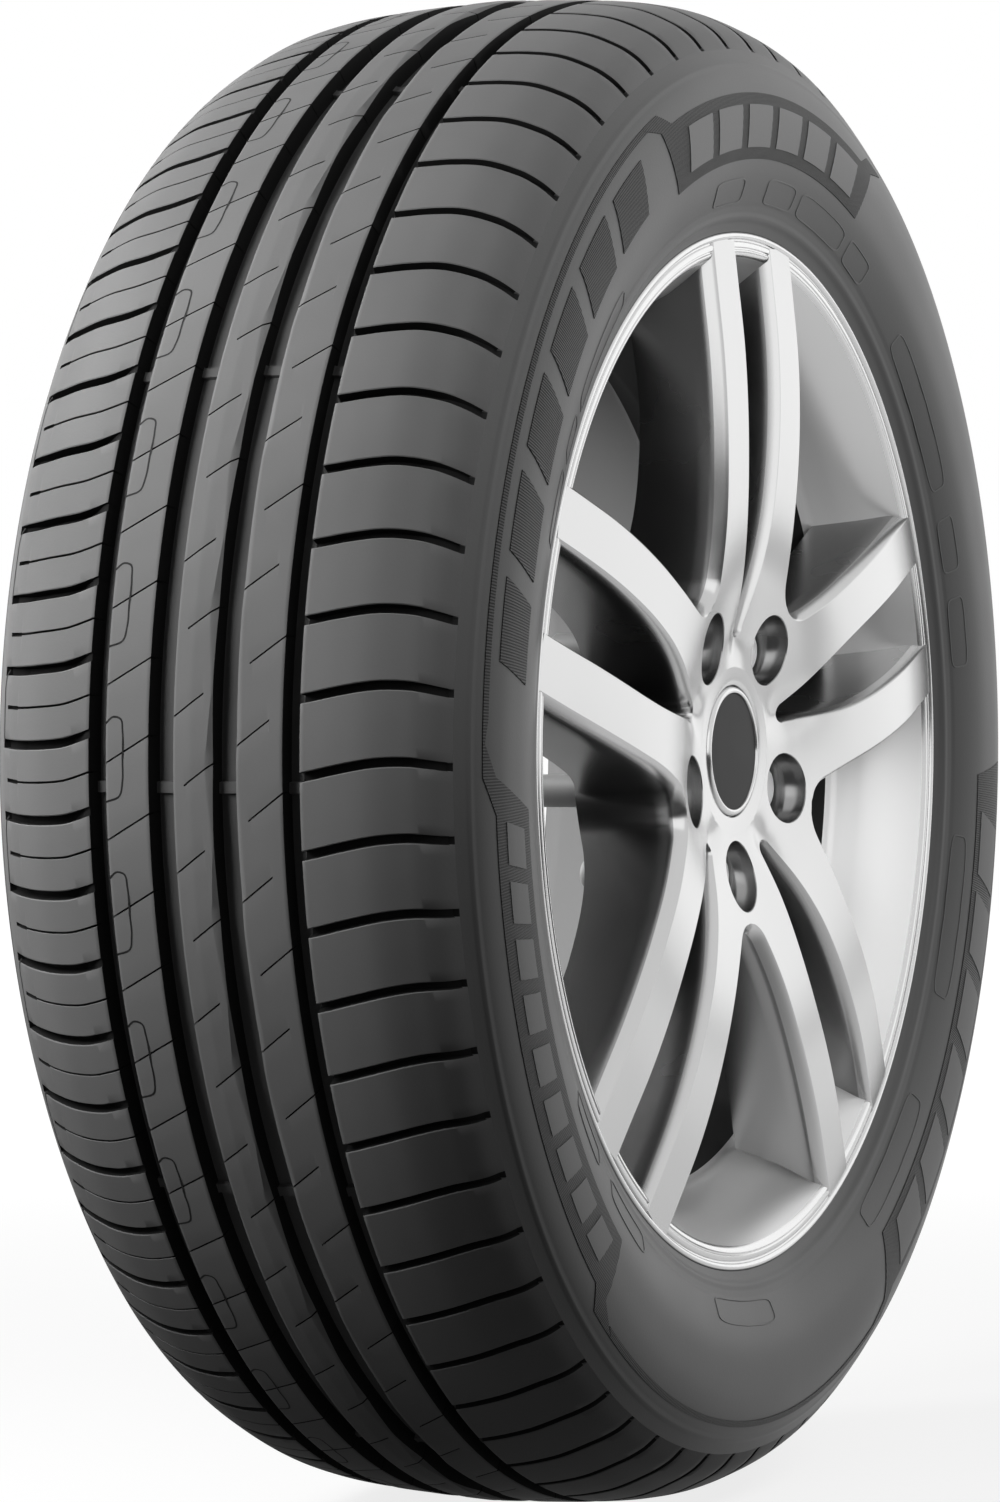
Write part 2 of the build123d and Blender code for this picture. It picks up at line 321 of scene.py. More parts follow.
class GroupLibrary:
    """Shader node groups that several finishes share."""

    def __init__(self) -> None:
        """Build the groups once."""
        self.mottle = self._mottle()
        self.hatch = self._hatch()

    @staticmethod
    def _open(
        name: str, inputs: Sequence[str], outputs: Sequence[str]
    ) -> tuple[bpy.types.NodeTree, bpy.types.Node, bpy.types.Node]:
        """Open a group with a place input, float inputs and float outputs.

        Args:
            name: Name of the group.
            inputs: Names of the float inputs.
            outputs: Names of the float outputs.

        Returns:
            The group, its input node and its output node.
        """
        tree = bpy.data.node_groups.new(name, "ShaderNodeTree")
        tree.interface.new_socket("Place", in_out="INPUT", socket_type="NodeSocketVector")
        for way, labels in (("INPUT", inputs), ("OUTPUT", outputs)):
            for label in labels:
                tree.interface.new_socket(label, in_out=way, socket_type="NodeSocketFloat")
        return tree, tree.nodes.new("NodeGroupInput"), tree.nodes.new("NodeGroupOutput")

    def _mottle(self) -> bpy.types.NodeTree:
        """Build the mottling that varies every finish, two noises of the place.

        Returns:
            A group of broad cloudy mottling and fine grain, both from 0 to 1.
        """
        tree, given, out = self._open("surface_mottle", ["Broad", "Fine"], ["Cloud", "Grain"])
        for label, scale, detail in (("Cloud", "Broad", 3.0), ("Grain", "Fine", 2.0)):
            inputs = {"Vector": given.outputs["Place"], "Scale": given.outputs[scale], "Detail": detail}
            noise = add_node(tree, "TexNoise", inputs)
            tree.links.new(noise.outputs["Fac"], out.inputs[label])
        return tree

    def _hatch(self) -> bpy.types.NodeTree:
        """Build the hatch, a straight rise and fall once for every line of the pattern.

        Returns:
            A group of fine lines across a pattern, a wave from 0 to 1.
        """
        tree, given, out = self._open("fine_hatch", ["Lines"], ["Ridge"])
        split = add_node(tree, "SeparateXYZ", {"Vector": given.outputs["Place"]})
        phase = add_math(tree, "MULTIPLY", split.outputs["X"], given.outputs["Lines"])
        wave = add_math(tree, "PINGPONG", phase, 0.5)
        tree.links.new(add_math(tree, "MULTIPLY", wave, 2.0), out.inputs["Ridge"])
        return tree


@dataclass(frozen=True)
class Finish:
    """A surface finish with mottled colour and roughness and a fine relief.

    Attributes:
        name: Plain name of the material.
        tone: Grey or colour of the surface as linear red, green and blue.
        roughness: Mean roughness.
        metallic: Metalness, the same all over.
        coat: Clear coat weight, the same all over.
        gloss: Specular level, the same all over.
        tone_spread: Share by which the colour varies.
        rough_spread: Amount by which the roughness varies.
        grain: Depth of the fine relief in millimetres.
        broad: Scale of the mottling.
        fine: Scale of the grain.
        hatch: Number of hatch lines round the pattern, or 0 for none.
        hatch_depth: Depth of the hatch in millimetres.
    """

    name: str
    tone: tuple[float, float, float]
    roughness: float
    metallic: float = 0.0
    coat: float = 0.0
    gloss: float = 0.5
    tone_spread: float = 0.12
    rough_spread: float = 0.06
    grain: float = 0.03
    broad: float = 14.0
    fine: float = 900.0
    hatch: float = 0.0
    hatch_depth: float = 0.0

    def material(self, groups: GroupLibrary) -> bpy.types.Material:
        """Return the finish as a material.

        Args:
            groups: Shared node groups.

        Returns:
            A material whose colour, roughness and relief vary over the surface.
        """
        material = bpy.data.materials.new(self.name)
        material.use_nodes = True
        material.diffuse_color = (*self.tone, 1.0)
        tree = material.node_tree
        shader = tree.nodes["Principled BSDF"]
        shader.inputs["Metallic"].default_value = self.metallic
        shader.inputs["Coat Weight"].default_value = self.coat
        shader.inputs["Specular IOR Level"].default_value = self.gloss
        place = add_node(tree, "TexCoord", {}).outputs["Object"]
        scales = {"Place": place, "Broad": self.broad, "Fine": self.fine}
        mottle = add_node(tree, "Group", scales, node_tree=groups.mottle)
        cloud = mottle.outputs["Cloud"]
        dark, light = (
            (*(min(value * share, 1.0) for value in self.tone), 1.0)
            for share in (1 - self.tone_spread, 1 + self.tone_spread)
        )
        colour = add_node(tree, "Mix", {"Factor": cloud, "A": dark, "B": light}, data_type="RGBA")
        spread = {"To Min": self.roughness - self.rough_spread, "To Max": self.roughness + self.rough_spread}
        rough = add_node(tree, "MapRange", {"Value": cloud, **spread})
        relief = {"Height": mottle.outputs["Grain"], "Distance": self.grain * MILLIMETRE}
        if self.hatch:
            relief["Normal"] = self._hatching(tree, groups)
        bump = add_node(tree, "Bump", relief)
        tree.links.new(colour.outputs["Result"], shader.inputs["Base Color"])
        tree.links.new(rough.outputs["Result"], shader.inputs["Roughness"])
        tree.links.new(bump.outputs["Normal"], shader.inputs["Normal"])
        return material

    def _hatching(self, tree: bpy.types.NodeTree, groups: GroupLibrary) -> bpy.types.NodeSocket:
        """Add a hatch relief, which lies below the grain.

        Args:
            tree: Nodes of the material.
            groups: Shared node groups.

        Returns:
            The socket of the relief's normal.
        """
        place = add_node(tree, "UVMap", {}, uv_map=PATTERN).outputs["UV"]
        hatch = add_node(tree, "Group", {"Place": place, "Lines": self.hatch}, node_tree=groups.hatch)
        relief = {"Height": hatch.outputs["Ridge"], "Distance": self.hatch_depth * MILLIMETRE}
        return add_node(tree, "Bump", relief).outputs["Normal"]


def grey(level: float) -> tuple[float, float, float]:
    """Return a neutral colour of that linear level."""
    return (level, level, level)


@dataclass(frozen=True)
class Finishes:
    """Every finish of the object, by the piece that it is on."""

    tread: Finish = Finish("tread_rubber", grey(0.135), 0.44, gloss=0.07, tone_spread=0.15, grain=0.04)
    # Near-black copy of the tread rubber on faces deeper than a rib's limit: painted shade in slots and on
    # groove walls.
    groove: Finish = Finish("groove_painted_shade", grey(0.012), 0.7, gloss=0.1, tone_spread=0.2, grain=0.04)
    floor: Finish = Finish(
        "groove_floor_rubber", grey(0.1), 0.6, gloss=0.07, tone_spread=0.15, grain=0.04
    )
    sidewall: Finish = Finish("sidewall_rubber", grey(0.05), 0.42, tone_spread=0.1)
    raised: Finish = Finish("raised_rubber", grey(0.085), 0.48)
    field_dark: Finish = Finish("hatched_rubber", grey(0.011), 0.55, hatch=1500.0, hatch_depth=0.25)
    block_dark: Finish = Finish("hatched_block", grey(0.012), 0.55, hatch=1500.0, hatch_depth=0.3)
    # Near-black rubber for the thin sipe strips: painted shade standing in for cut slits.
    cut: Finish = Finish("sipe_painted_shade", grey(0.006), 0.75, grain=0.02)
    spoke: Finish = Finish(
        "silver_paint", grey(0.55), 0.22, metallic=1.0, tone_spread=0.02, rough_spread=0.03,
        grain=0.0008, fine=2500.0,
    )
    inner_barrel: Finish = Finish(
        "inner_barrel_paint", grey(0.25), 0.6, gloss=0.08, tone_spread=0.06, grain=0.004, fine=300.0
    )
    # Near-black copy of the alloy for the drop well's inside: painted shade.
    barrel: Finish = Finish("barrel_painted_shade", grey(0.012), 0.6, gloss=0.15, tone_spread=0.15, grain=0.01)
    # Lighter, partly matt copy of the spokes' silver paint, lit by the lamps but lifted in tone: painted
    # light on the dish.
    dish: Finish = Finish(
        "dish_painted_light", grey(0.7), 0.3, metallic=0.65, tone_spread=0.03, rough_spread=0.03,
        grain=0.0008, fine=2500.0,
    )
    # Darker copy of the spokes' silver paint for the bolt pockets and the deep spoke walls: painted shade.
    pocket: Finish = Finish(
        "pocket_painted_shade", grey(0.31), 0.26, metallic=1.0, tone_spread=0.05, grain=0.002
    )
    # Pale, nearly matt zinc on the bolt heads, lit by the lamps but lifted in tone: painted light in place of
    # a metal head's bright reflection.
    bolt: Finish = Finish("bolt_zinc_painted_light", grey(0.85), 0.3, metallic=0.1, tone_spread=0.06, grain=0.006)
    # Darker zinc on the shanks behind the seat: painted shade, so that they sink into the dark inside.
    shank: Finish = Finish("shank_zinc_painted_shade", grey(0.5), 0.5, metallic=0.2, tone_spread=0.08, grain=0.01)
    cap_ring: Finish = Finish(
        "cap_silver", grey(0.62), 0.18, metallic=0.9, coat=0.3, tone_spread=0.02, grain=0.002
    )
    cap_disc: Finish = Finish("disc_dark", grey(0.01), 0.5, gloss=0.2, tone_spread=0.1, grain=0.004)
    valve_rubber: Finish = Finish("valve_rubber", grey(0.018), 0.6)
    valve_brass: Finish = Finish("valve_brass", (0.62, 0.45, 0.2), 0.3, metallic=1.0, grain=0.005)
    valve_plastic: Finish = Finish("valve_plastic", grey(0.02), 0.45)

    def materials(self) -> Paints:
        """Return the materials of all finishes, by the names of the fields."""
        groups = GroupLibrary()
        return {entry.name: getattr(self, entry.name).material(groups) for entry in fields(self)}


@dataclass(frozen=True)
class Section:
    """The tyre's outer section: half a profile from the crown to the rim, the same on both sides.

    Attributes:
        offsets: Offsets from the middle plane of the tread's knots.
        radii: Radii of the tread's knots.
        side_radii: Radii of the sidewall's knots, growing.
        side_offsets: Offsets of the sidewall's knots.
        step: Step over which a slope is taken.
    """

    offsets: Knots = (0, 22, 45, 60, 72, 82, 89, 94.5, 98.8)
    radii: Knots = (325.7, 324.7, 323.1, 321.2, 318.3, 313.8, 309.8, 305.2, 299.8)
    side_radii: Knots = (222.6, 226.0, 231.0, 240.0, 252.0, 266.0, 278.0, 290.0, 299.8)
    side_offsets: Knots = (96.6, 98.2, 100.8, 104.9, 108.3, 109.2, 108.2, 104.6, 98.8)
    step: float = 0.01

    def tread(self, offset: np.ndarray) -> np.ndarray:
        """Return the tread's radius at an offset from the middle plane."""
        return smooth_curve(self.offsets, self.radii)(np.abs(offset))

    def side(self, radius: np.ndarray) -> np.ndarray:
        """Return the sidewall's offset at a radius."""
        return smooth_curve(self.side_radii, self.side_offsets)(radius)

    def _slope(self, curve: Curve, place: np.ndarray) -> tuple[np.ndarray, np.ndarray]:
        """Return a curve's slope and the length of (1, slope) there."""
        slope = (curve(place + self.step) - curve(place - self.step)) / (2 * self.step)
        return slope, np.sqrt(1 + slope**2)

    def sunk(self, offset: np.ndarray, depth: np.ndarray, angle: np.ndarray) -> np.ndarray:
        """Return tread points sunk square to the surface by a depth.

        The normal in the section is (1, -slope) of the radius over the offset, brought to unit length.

        Args:
            offset: Places along the axle.
            depth: Depth below the surface.
            angle: Tread angles in degrees.

        Returns:
            Points in metres.
        """
        slope, length = self._slope(self.tread, offset)
        return about_axle(self.tread(offset) - depth / length, offset + depth * slope / length, angle)

    def on_side(self, angle: np.ndarray, radius: np.ndarray, lift: np.ndarray, side: int) -> np.ndarray:
        """Return sidewall points at a face angle and a radius, lifted square to the wall.

        The normal in the section is (1, -slope) of the offset over the radius, brought to unit length.

        Args:
            angle: Angles on the styled face in degrees.
            radius: Radii.
            lift: Height above the wall.
            side: OUTBOARD or INBOARD.

        Returns:
            Points in metres.
        """
        slope, length = self._slope(self.side, radius)
        offset = side * (self.side(radius) + lift / length)
        return about_axle(radius - lift * slope / length, offset, 180.0 - np.asarray(angle))


@dataclass(frozen=True)
class Cut:
    """A slot or sipe that crosses a rib along the rib's lean.

    Attributes:
        phase: Place in the rib's period, in degrees.
        width: Width at the top.
        depth: Depth below the tread.
        low: Offset where it starts.
        high: Offset where it ends.
        tie_low: Offset where a raised floor ends.
        tie_high: Offset where the raised floor starts to rise.
        tie_depth: Depth of the raised floor, or 0 where there is none.
        most_lean: Most that its walls lean in.
        lean_share: Share of its width that its walls lean in, up to the most.
    """

    phase: float
    width: float
    depth: float
    low: float
    high: float
    tie_low: float = 0.0
    tie_high: float = 1.0
    tie_depth: float = 0.0
    most_lean: float = 0.25
    lean_share: float = 0.2

    def floor_half(self) -> float:
        """Return half the width of its floor."""
        return self.width / 2 - min(self.most_lean, self.width * self.lean_share)


@dataclass(frozen=True)
class EdgeTaper:
    """A long chamfer on a rib's edge that swells and shrinks once a period.

    Attributes:
        reach: Greatest width of the chamfer beyond the plain bevel.
        start: Phase where it begins, in degrees.
        peak: Phase where it is widest.
        end: Phase where it is gone.
    """

    reach: float = 0.0
    start: float = 0.0
    peak: float = 1.0
    end: float = 2.0

    def width(self, phase: np.ndarray, period: float) -> np.ndarray:
        """Return the chamfer's extra width, a straight rise and fall once a period.

        Args:
            phase: Phases in degrees.
            period: Length of a period.

        Returns:
            Widths at the phases.
        """
        p = np.mod(phase - self.start, period)
        rise = self.peak - self.start
        fall = self.end - self.peak
        return self.reach * np.where(p < rise, p / rise, np.clip(1 - (p - rise) / fall, 0, 1))


@dataclass(frozen=True)
class Rib:
    """One rib of the tread between two grooves, or a shoulder.

    Attributes:
        low: Offset of its edge nearer the styled face.
        high: Offset of its other edge.
        repeats: Number of periods round the tyre.
        lean_offsets: Offsets of the knots of the line that its cuts follow.
        lean_angles: Angles of those knots in degrees.
        cuts: Slots and sipes of one period.
        rows: Number of lines across the rib's top.
        low_wall: The low edge falls into a groove.
        high_wall: The high edge falls into a groove.
        low_taper: Chamfer of the low edge.
        high_taper: Chamfer of the high edge.
        deep: Depth beyond which a face takes the groove's near-black finish, painted shade.
    """

    low: float
    high: float
    repeats: int
    lean_offsets: Knots
    lean_angles: Knots
    cuts: tuple[Cut, ...]
    rows: int = 20
    low_wall: bool = True
    high_wall: bool = True
    low_taper: EdgeTaper = EdgeTaper()
    high_taper: EdgeTaper = EdgeTaper()
    deep: float = 1.2


@dataclass
class Tread:
    """The tread: five ribs, four grooves with wear bars, and the thin curved sipes.

    Attributes:
        section: The tyre's outer section.
        pitches: Number of slots round each shoulder.
        groove_depth: Depth of the grooves.
        wall_run: How far a groove's wall leans in towards its floor.
        floor_lap: Share of that run which a groove's floor leaves to the wall.
        floor_corner: Width and height of the fillet beside a groove's floor.
        bevel: Width of a rib's plain edge bevel.
        bevel_drop: Depth of a bevel for its width.
        cut_rim: Share of a cut's depth at its rim.
        wide_cut: Width beyond which a cut has a line of the grid beside it.
        cut_margin: Distance of that line from the cut.
        column_gap: Widest gap between two columns of a rib.
        row_nudge: Distance of the close rows from a cut's end, as a share of the rib's width.
        row_margin: Share of the rib's width beside an edge where no close row is added.
        fade: Offsets where the shoulders' cuts grow shallow and where they would run out.
        fade_least: Least share of depth that they keep.
        bar_count: Number of wear bars round each groove.
        bar_angle: Tread angle of one wear bar, in degrees.
        bar_width: Width of a wear bar.
        bar_height: Height of a wear bar above the groove's floor.
        bar_ramp: Angle over which a wear bar rises, in degrees.
        floor_gap: Widest gap between two columns of a groove's floor, in degrees.
        line_width: Width of the thin curved sipes.
        line_lift: Height of their dark strips above the tread, painted shade in place of cut slits.
        line_steps: Points along one of them.
        loop: Offsets and angles of the sipe that loops on the inboard rib.
        link: Offsets and angles of the sipe that links two slots of the inboard shoulder.
    """

    section: Section = field(default_factory=Section)
    pitches: int = 68
    groove_depth: float = 7.5
    wall_run: float = 1.0
    floor_lap: float = 0.6
    floor_corner: tuple[float, float] = (0.7, 0.5)
    bevel: float = 0.45
    bevel_drop: float = 0.55
    cut_rim: float = 0.06
    wide_cut: float = 2.0
    cut_margin: float = 0.4
    column_gap: float = 4.2
    row_nudge: float = 0.004
    row_margin: float = 0.01
    fade: tuple[float, float] = (84.0, 100.5)
    fade_least: float = 0.25
    bar_count: int = 12
    bar_angle: float = -2.05
    bar_width: float = 4.3
    bar_height: float = 1.7
    bar_ramp: float = 0.06
    floor_gap: float = 1.0
    line_width: float = 0.8
    line_lift: float = 0.04
    line_steps: int = 40
    loop: Profile = (
        (37.9, 12.9), (34.5, 13.35), (31.2, 13.2), (30.2, 12.3), (30.2, 10.5), (30.3, 8.9), (31.6, 8.0),
        (37.9, 7.55),
    )
    link: Profile = ((89.8, 6.25), (91.6, 6.0), (92.8, 5.4), (93.0, 4.0), (93.0, 2.6), (93.0, 1.1))

    def ribs(self) -> dict[str, Rib]:
        """List the ribs with their cuts.

        Returns:
            The ribs by name, from the outboard shoulder to the inboard one.
        """
        single = self.pitches
        double = self.pitches // 2
        return {
            "outboard_shoulder": Rib(
                -98.8, -45.6, single,
                (-98.8, -85, -77, -60, -50, -45.6),
                (-0.66, -0.26, -0.28, -0.77, -1.16, -1.31),
                (Cut(0.0, 3.6, 5.5, -98.3, -40),),
                rows=46, low_wall=False, deep=0.4,
            ),
            "outboard_rib": Rib(
                -38.5, -19.4, double,
                (-40, -18), (5.2, 2.34),
                (Cut(3.22, 0.8, 3.0, -42, -25), Cut(8.85, 0.8, 3.0, -33, -18)),
                high_taper=EdgeTaper(1.3, 7.6, 9.5, 17.4),
            ),
            "middle_rib": Rib(
                -9.1, 7.5, double,
                (-10, 10), (1.245, -1.245),
                (Cut(9.06, 0.8, 3.0, -12, 2.5), Cut(14.27, 0.8, 3.0, -5, 10)),
                low_taper=EdgeTaper(2.3, 4.5, 9.3, 14.1),
            ),
            "inboard_rib": Rib(
                18.75, 37.9, double,
                (18, 38), (-1.7442, -3.6822),
                (Cut(13.87, 0.8, 3.0, 15, 40), Cut(8.6, 0.8, 3.0, 15, 40)),
            ),
            "inboard_shoulder": Rib(
                46.1, 98.8, single,
                (46.1, 52.5, 58, 64.5, 70, 84, 93, 98.8),
                (1.6, 1.25, 1.0, 0.87, 0.82, 0.81, 0.95, 1.0),
                (
                    Cut(0.0, 3.6, 5.5, 40, 93.0, 48.0, 57.0, 1.0),
                    Cut(2.66, 0.8, 3.0, 40, 84),
                    Cut(2.66, 1.6, 2.6, 83.6, 90.3),
                ),
                rows=46, high_wall=False, deep=0.4,
            ),
        }

    def rib_grid(self, rib: Rib) -> SurfaceGrid:
        """Return a rib's surface, its columns leaning with its cuts so that each cut has clean walls.

        Depth over the grid is the groove wall's at the outer rows, the cut's inside a cut, and none on
        the top. A column's angle is its place in the period plus the lean at its row's offset.

        Args:
            rib: The rib to work out.

        Returns:
            A grid closed round the tyre.
        """
        period = 360.0 / rib.repeats
        mean_radius = float(self.section.tread(np.array([(rib.low + rib.high) / 2]))[0])
        degree = math.degrees(1 / mean_radius)
        lines: list[float] = []
        for cut in rib.cuts:
            places = [cut.width / 2, cut.floor_half()]
            if cut.width > self.wide_cut:
                places.append(cut.width / 2 + self.cut_margin)
            lines += [cut.phase + sign * place * degree for sign in (-1, 1) for place in places]
        columns = fill_gaps(np.mod(lines, period), period, self.column_gap * degree)
        angles = (np.arange(rib.repeats)[:, None] * period + columns[None, :]).ravel()
        level = np.zeros_like(angles)
        foot = level + self.groove_depth
        low_bevel = self.bevel + rib.low_taper.width(angles, period)
        high_bevel = self.bevel + rib.high_taper.width(angles, period)
        low_top = rib.low + (low_bevel if rib.low_wall else level)
        high_top = rib.high - (high_bevel if rib.high_wall else level)
        offsets = low_top + self._row_places(rib)[:, None] * (high_top - low_top)
        depths = np.zeros_like(offsets)
        if rib.low_wall:
            offsets = np.vstack([level + rib.low - self.wall_run, level + rib.low, offsets])
            depths = np.vstack([foot, self.bevel_drop * low_bevel, depths])
        if rib.high_wall:
            offsets = np.vstack([offsets, level + rib.high, level + rib.high + self.wall_run])
            depths = np.vstack([depths, self.bevel_drop * high_bevel, foot])
        for cut in rib.cuts:
            apart = np.abs(np.mod(angles - cut.phase + period / 2, period) - period / 2) / degree
            depths = np.maximum(depths, self._cut_depth(cut, apart, offsets))
        lean = smooth_curve(rib.lean_offsets, rib.lean_angles)(offsets)
        points = self.section.sunk(offsets, depths, angles + lean)
        # Faces deeper than the rib's limit take the near-black finish, painted shade.
        return SurfaceGrid(points, closed=True, depth=depths, deep=rib.deep)

    def _row_places(self, rib: Rib) -> np.ndarray:
        """Return the rows' shares of the way across a rib's top, with close rows where its cuts end.

        Args:
            rib: The rib.

        Returns:
            Increasing shares from 0 to 1.
        """
        ends = np.array([(cut.low, cut.high) for cut in rib.cuts]).ravel()
        shares = (ends - rib.low) / (rib.high - rib.low)
        inside = shares[(shares > self.row_margin) & (shares < 1 - self.row_margin)]
        rows = np.linspace(0, 1, rib.rows)
        return np.unique(np.concatenate([rows, inside - self.row_nudge, inside + self.row_nudge]))

    def _cut_depth(self, cut: Cut, apart: np.ndarray, offsets: np.ndarray) -> np.ndarray:
        """Return a cut's depth over a grid: full on its floor, a little at its rim, none outside.

        The full depth rises in a straight line to the raised floor, where there is one, and fades in a
        straight line on the shoulders. A hair beside the walls keeps rounding from moving an edge.

        Args:
            cut: The cut.
            apart: Distance of every column from the cut's middle line.
            offsets: Offsets of the grid's points.

        Returns:
            Depths of the grid's points.
        """
        half, floor_half = cut.width / 2, cut.floor_half()
        hair = (half - floor_half) / 10
        rim = np.where(apart < half + hair, self.cut_rim, 0.0)
        across = np.where(apart < floor_half + hair, 1.0, rim)
        inside = (offsets > cut.low) & (offsets < cut.high)
        start, end = self.fade
        fade = np.clip((end - np.abs(offsets)) / (end - start), self.fade_least, 1)
        floor = cut.depth
        if cut.tie_depth:
            floor = np.interp(offsets, (cut.tie_low, cut.tie_high), (cut.tie_depth, cut.depth))
        return floor * fade * across * inside

    def groove_grids(self, ribs: dict[str, Rib]) -> list[SurfaceGrid]:
        """Return the floors of the grooves between neighbouring ribs, with the wear bars across them.

        A floor lies at the grooves' depth, less the fillet's height beside the walls and less the bar's
        height across a bar.

        Args:
            ribs: The ribs in order across the tread.

        Returns:
            One grid for each groove.
        """
        span = 360.0 / self.bar_count
        half = self.bar_width / 2 * math.degrees(1 / self.section.radii[0])
        foot = half + self.bar_ramp
        lines = fill_gaps([-foot, -half, half, foot], span, self.floor_gap)
        angles = self.bar_angle + (np.arange(self.bar_count)[:, None] * span + lines[None, :]).ravel()
        apart = np.abs(np.mod(angles - self.bar_angle + span / 2, span) - span / 2)
        height = np.where(apart < (half + foot) / 2, self.bar_height, 0.0)
        run, rise = self.floor_corner
        corner = np.array([rise, 0.0, 0.0, 0.0, rise])[:, None]
        depths = self.groove_depth - corner - height[None, :]
        lap = self.floor_lap * self.wall_run
        ordered = list(ribs.values())
        grids = []
        for before, after in zip(ordered[:-1], ordered[1:]):
            low, high = before.high + lap, after.low - lap
            places = np.array([low, low + run, (low + high) / 2, high - run, high])[:, None]
            points = self.section.sunk(places + np.zeros_like(depths), depths, angles[None, :])
            grids.append(SurfaceGrid(points, closed=True, finish=2))
        return grids

    def line_grids(self, path: Profile, repeats: int) -> list[SurfaceGrid]:
        """Return thin sipes that follow a rounded path on the tread, once a period.

        The path is a smooth curve through (offset, angle) knots by chord length. Each sipe is a strip as
        wide as the line, laid on the surface, whose near-black finish is painted shade in place of a cut.

        Args:
            path: Knots of offset in millimetres and angle in degrees.
            repeats: Number of periods round the tyre.

        Returns:
            One strip for each period.
        """
        arc = math.radians(1) * self.section.radii[0]
        flat = np.asarray(path, float) * np.array([1.0, arc])
        length = np.concatenate([[0], np.cumsum(np.hypot(*np.diff(flat, axis=0).T))])
        along = np.linspace(0, length[-1], self.line_steps)
        centre = np.stack([smooth_curve(length, flat[:, k])(along) for k in (0, 1)], -1)
        direction = np.gradient(centre, axis=0)
        direction /= np.linalg.norm(direction, axis=1, keepdims=True)
        across = np.stack([-direction[:, 1], direction[:, 0]], -1) * self.line_width / 2
        strip = np.stack([centre - across, centre + across])
        turns = np.arange(repeats) * 360.0 / repeats
        depth = np.full(strip.shape[:2], -self.line_lift)
        return [
            SurfaceGrid(self.section.sunk(strip[..., 0], depth, strip[..., 1] / arc + turn), reverse=True)
            for turn in turns
        ]

    def build(self, paints: Paints) -> list[bpy.types.Object]:
        """Build the tread's pieces.

        Args:
            paints: Materials of the finishes.

        Returns:
            The shoulders, the ribs with their grooves, and the thin sipes.
        """
        ribs = self.ribs()
        grids = {name: [self.rib_grid(rib)] for name, rib in ribs.items()}
        middle = [grids[name][0] for name in ("outboard_rib", "middle_rib", "inboard_rib")]
        grids["ribs"] = middle + self.groove_grids(ribs)
        rubber = [paints["tread"], paints["groove"], paints["floor"]]
        pieces = [
            build_object(f"tread_{name}", grids[name], rubber, crease=30)
            for name in ("outboard_shoulder", "inboard_shoulder", "ribs")
        ]
        lines = [grid for path in (self.loop, self.link) for grid in self.line_grids(path, self.pitches // 2)]
        # The fine sipes are near-black strips on the surface: painted shade, not cuts.
        return [*pieces, build_object("tread_sipe_painted_shade", lines, [paints["cut"]])]


@dataclass(frozen=True)
class FacePatch:
    """A patch on the outboard sidewall between two radii, with ends that may slant.

    Attributes:
        inner: Smaller radius.
        outer: Larger radius.
        start_inner: Face angle of its start at the smaller radius, in degrees.
        start_outer: Face angle of its start at the larger radius.
        end_inner: Face angle of its end at the smaller radius.
        end_outer: Face angle of its end at the larger radius.
    """

    inner: float
    outer: float
    start_inner: float
    start_outer: float
    end_inner: float
    end_outer: float


@dataclass(frozen=True)
class BlockRow:
    """A row of plain slanted blocks between two face angles.

    Attributes:
        inner: Smaller radius.
        outer: Larger radius.
        start: First face angle in degrees.
        end: Last face angle.
        count: Number of blocks.
        share: Share of each step that a block fills.
        slant: Angle by which a block leans from its inner to its outer edge.
    """

    inner: float
    outer: float
    start: float
    end: float
    count: int
    share: float
    slant: float

    def patches(self) -> list[FacePatch]:
        """Work out the blocks, evenly spaced and all of one width and slant.

        Returns:
            The outlines of the blocks.
        """
        step = (self.end - self.start) / self.count
        firsts = [self.start + number * step for number in range(self.count)]
        spans = [(first, first + self.share * step) for first in firsts]
        lean = self.slant
        return [FacePatch(self.inner, self.outer, a, a + lean, b, b + lean) for a, b in spans]


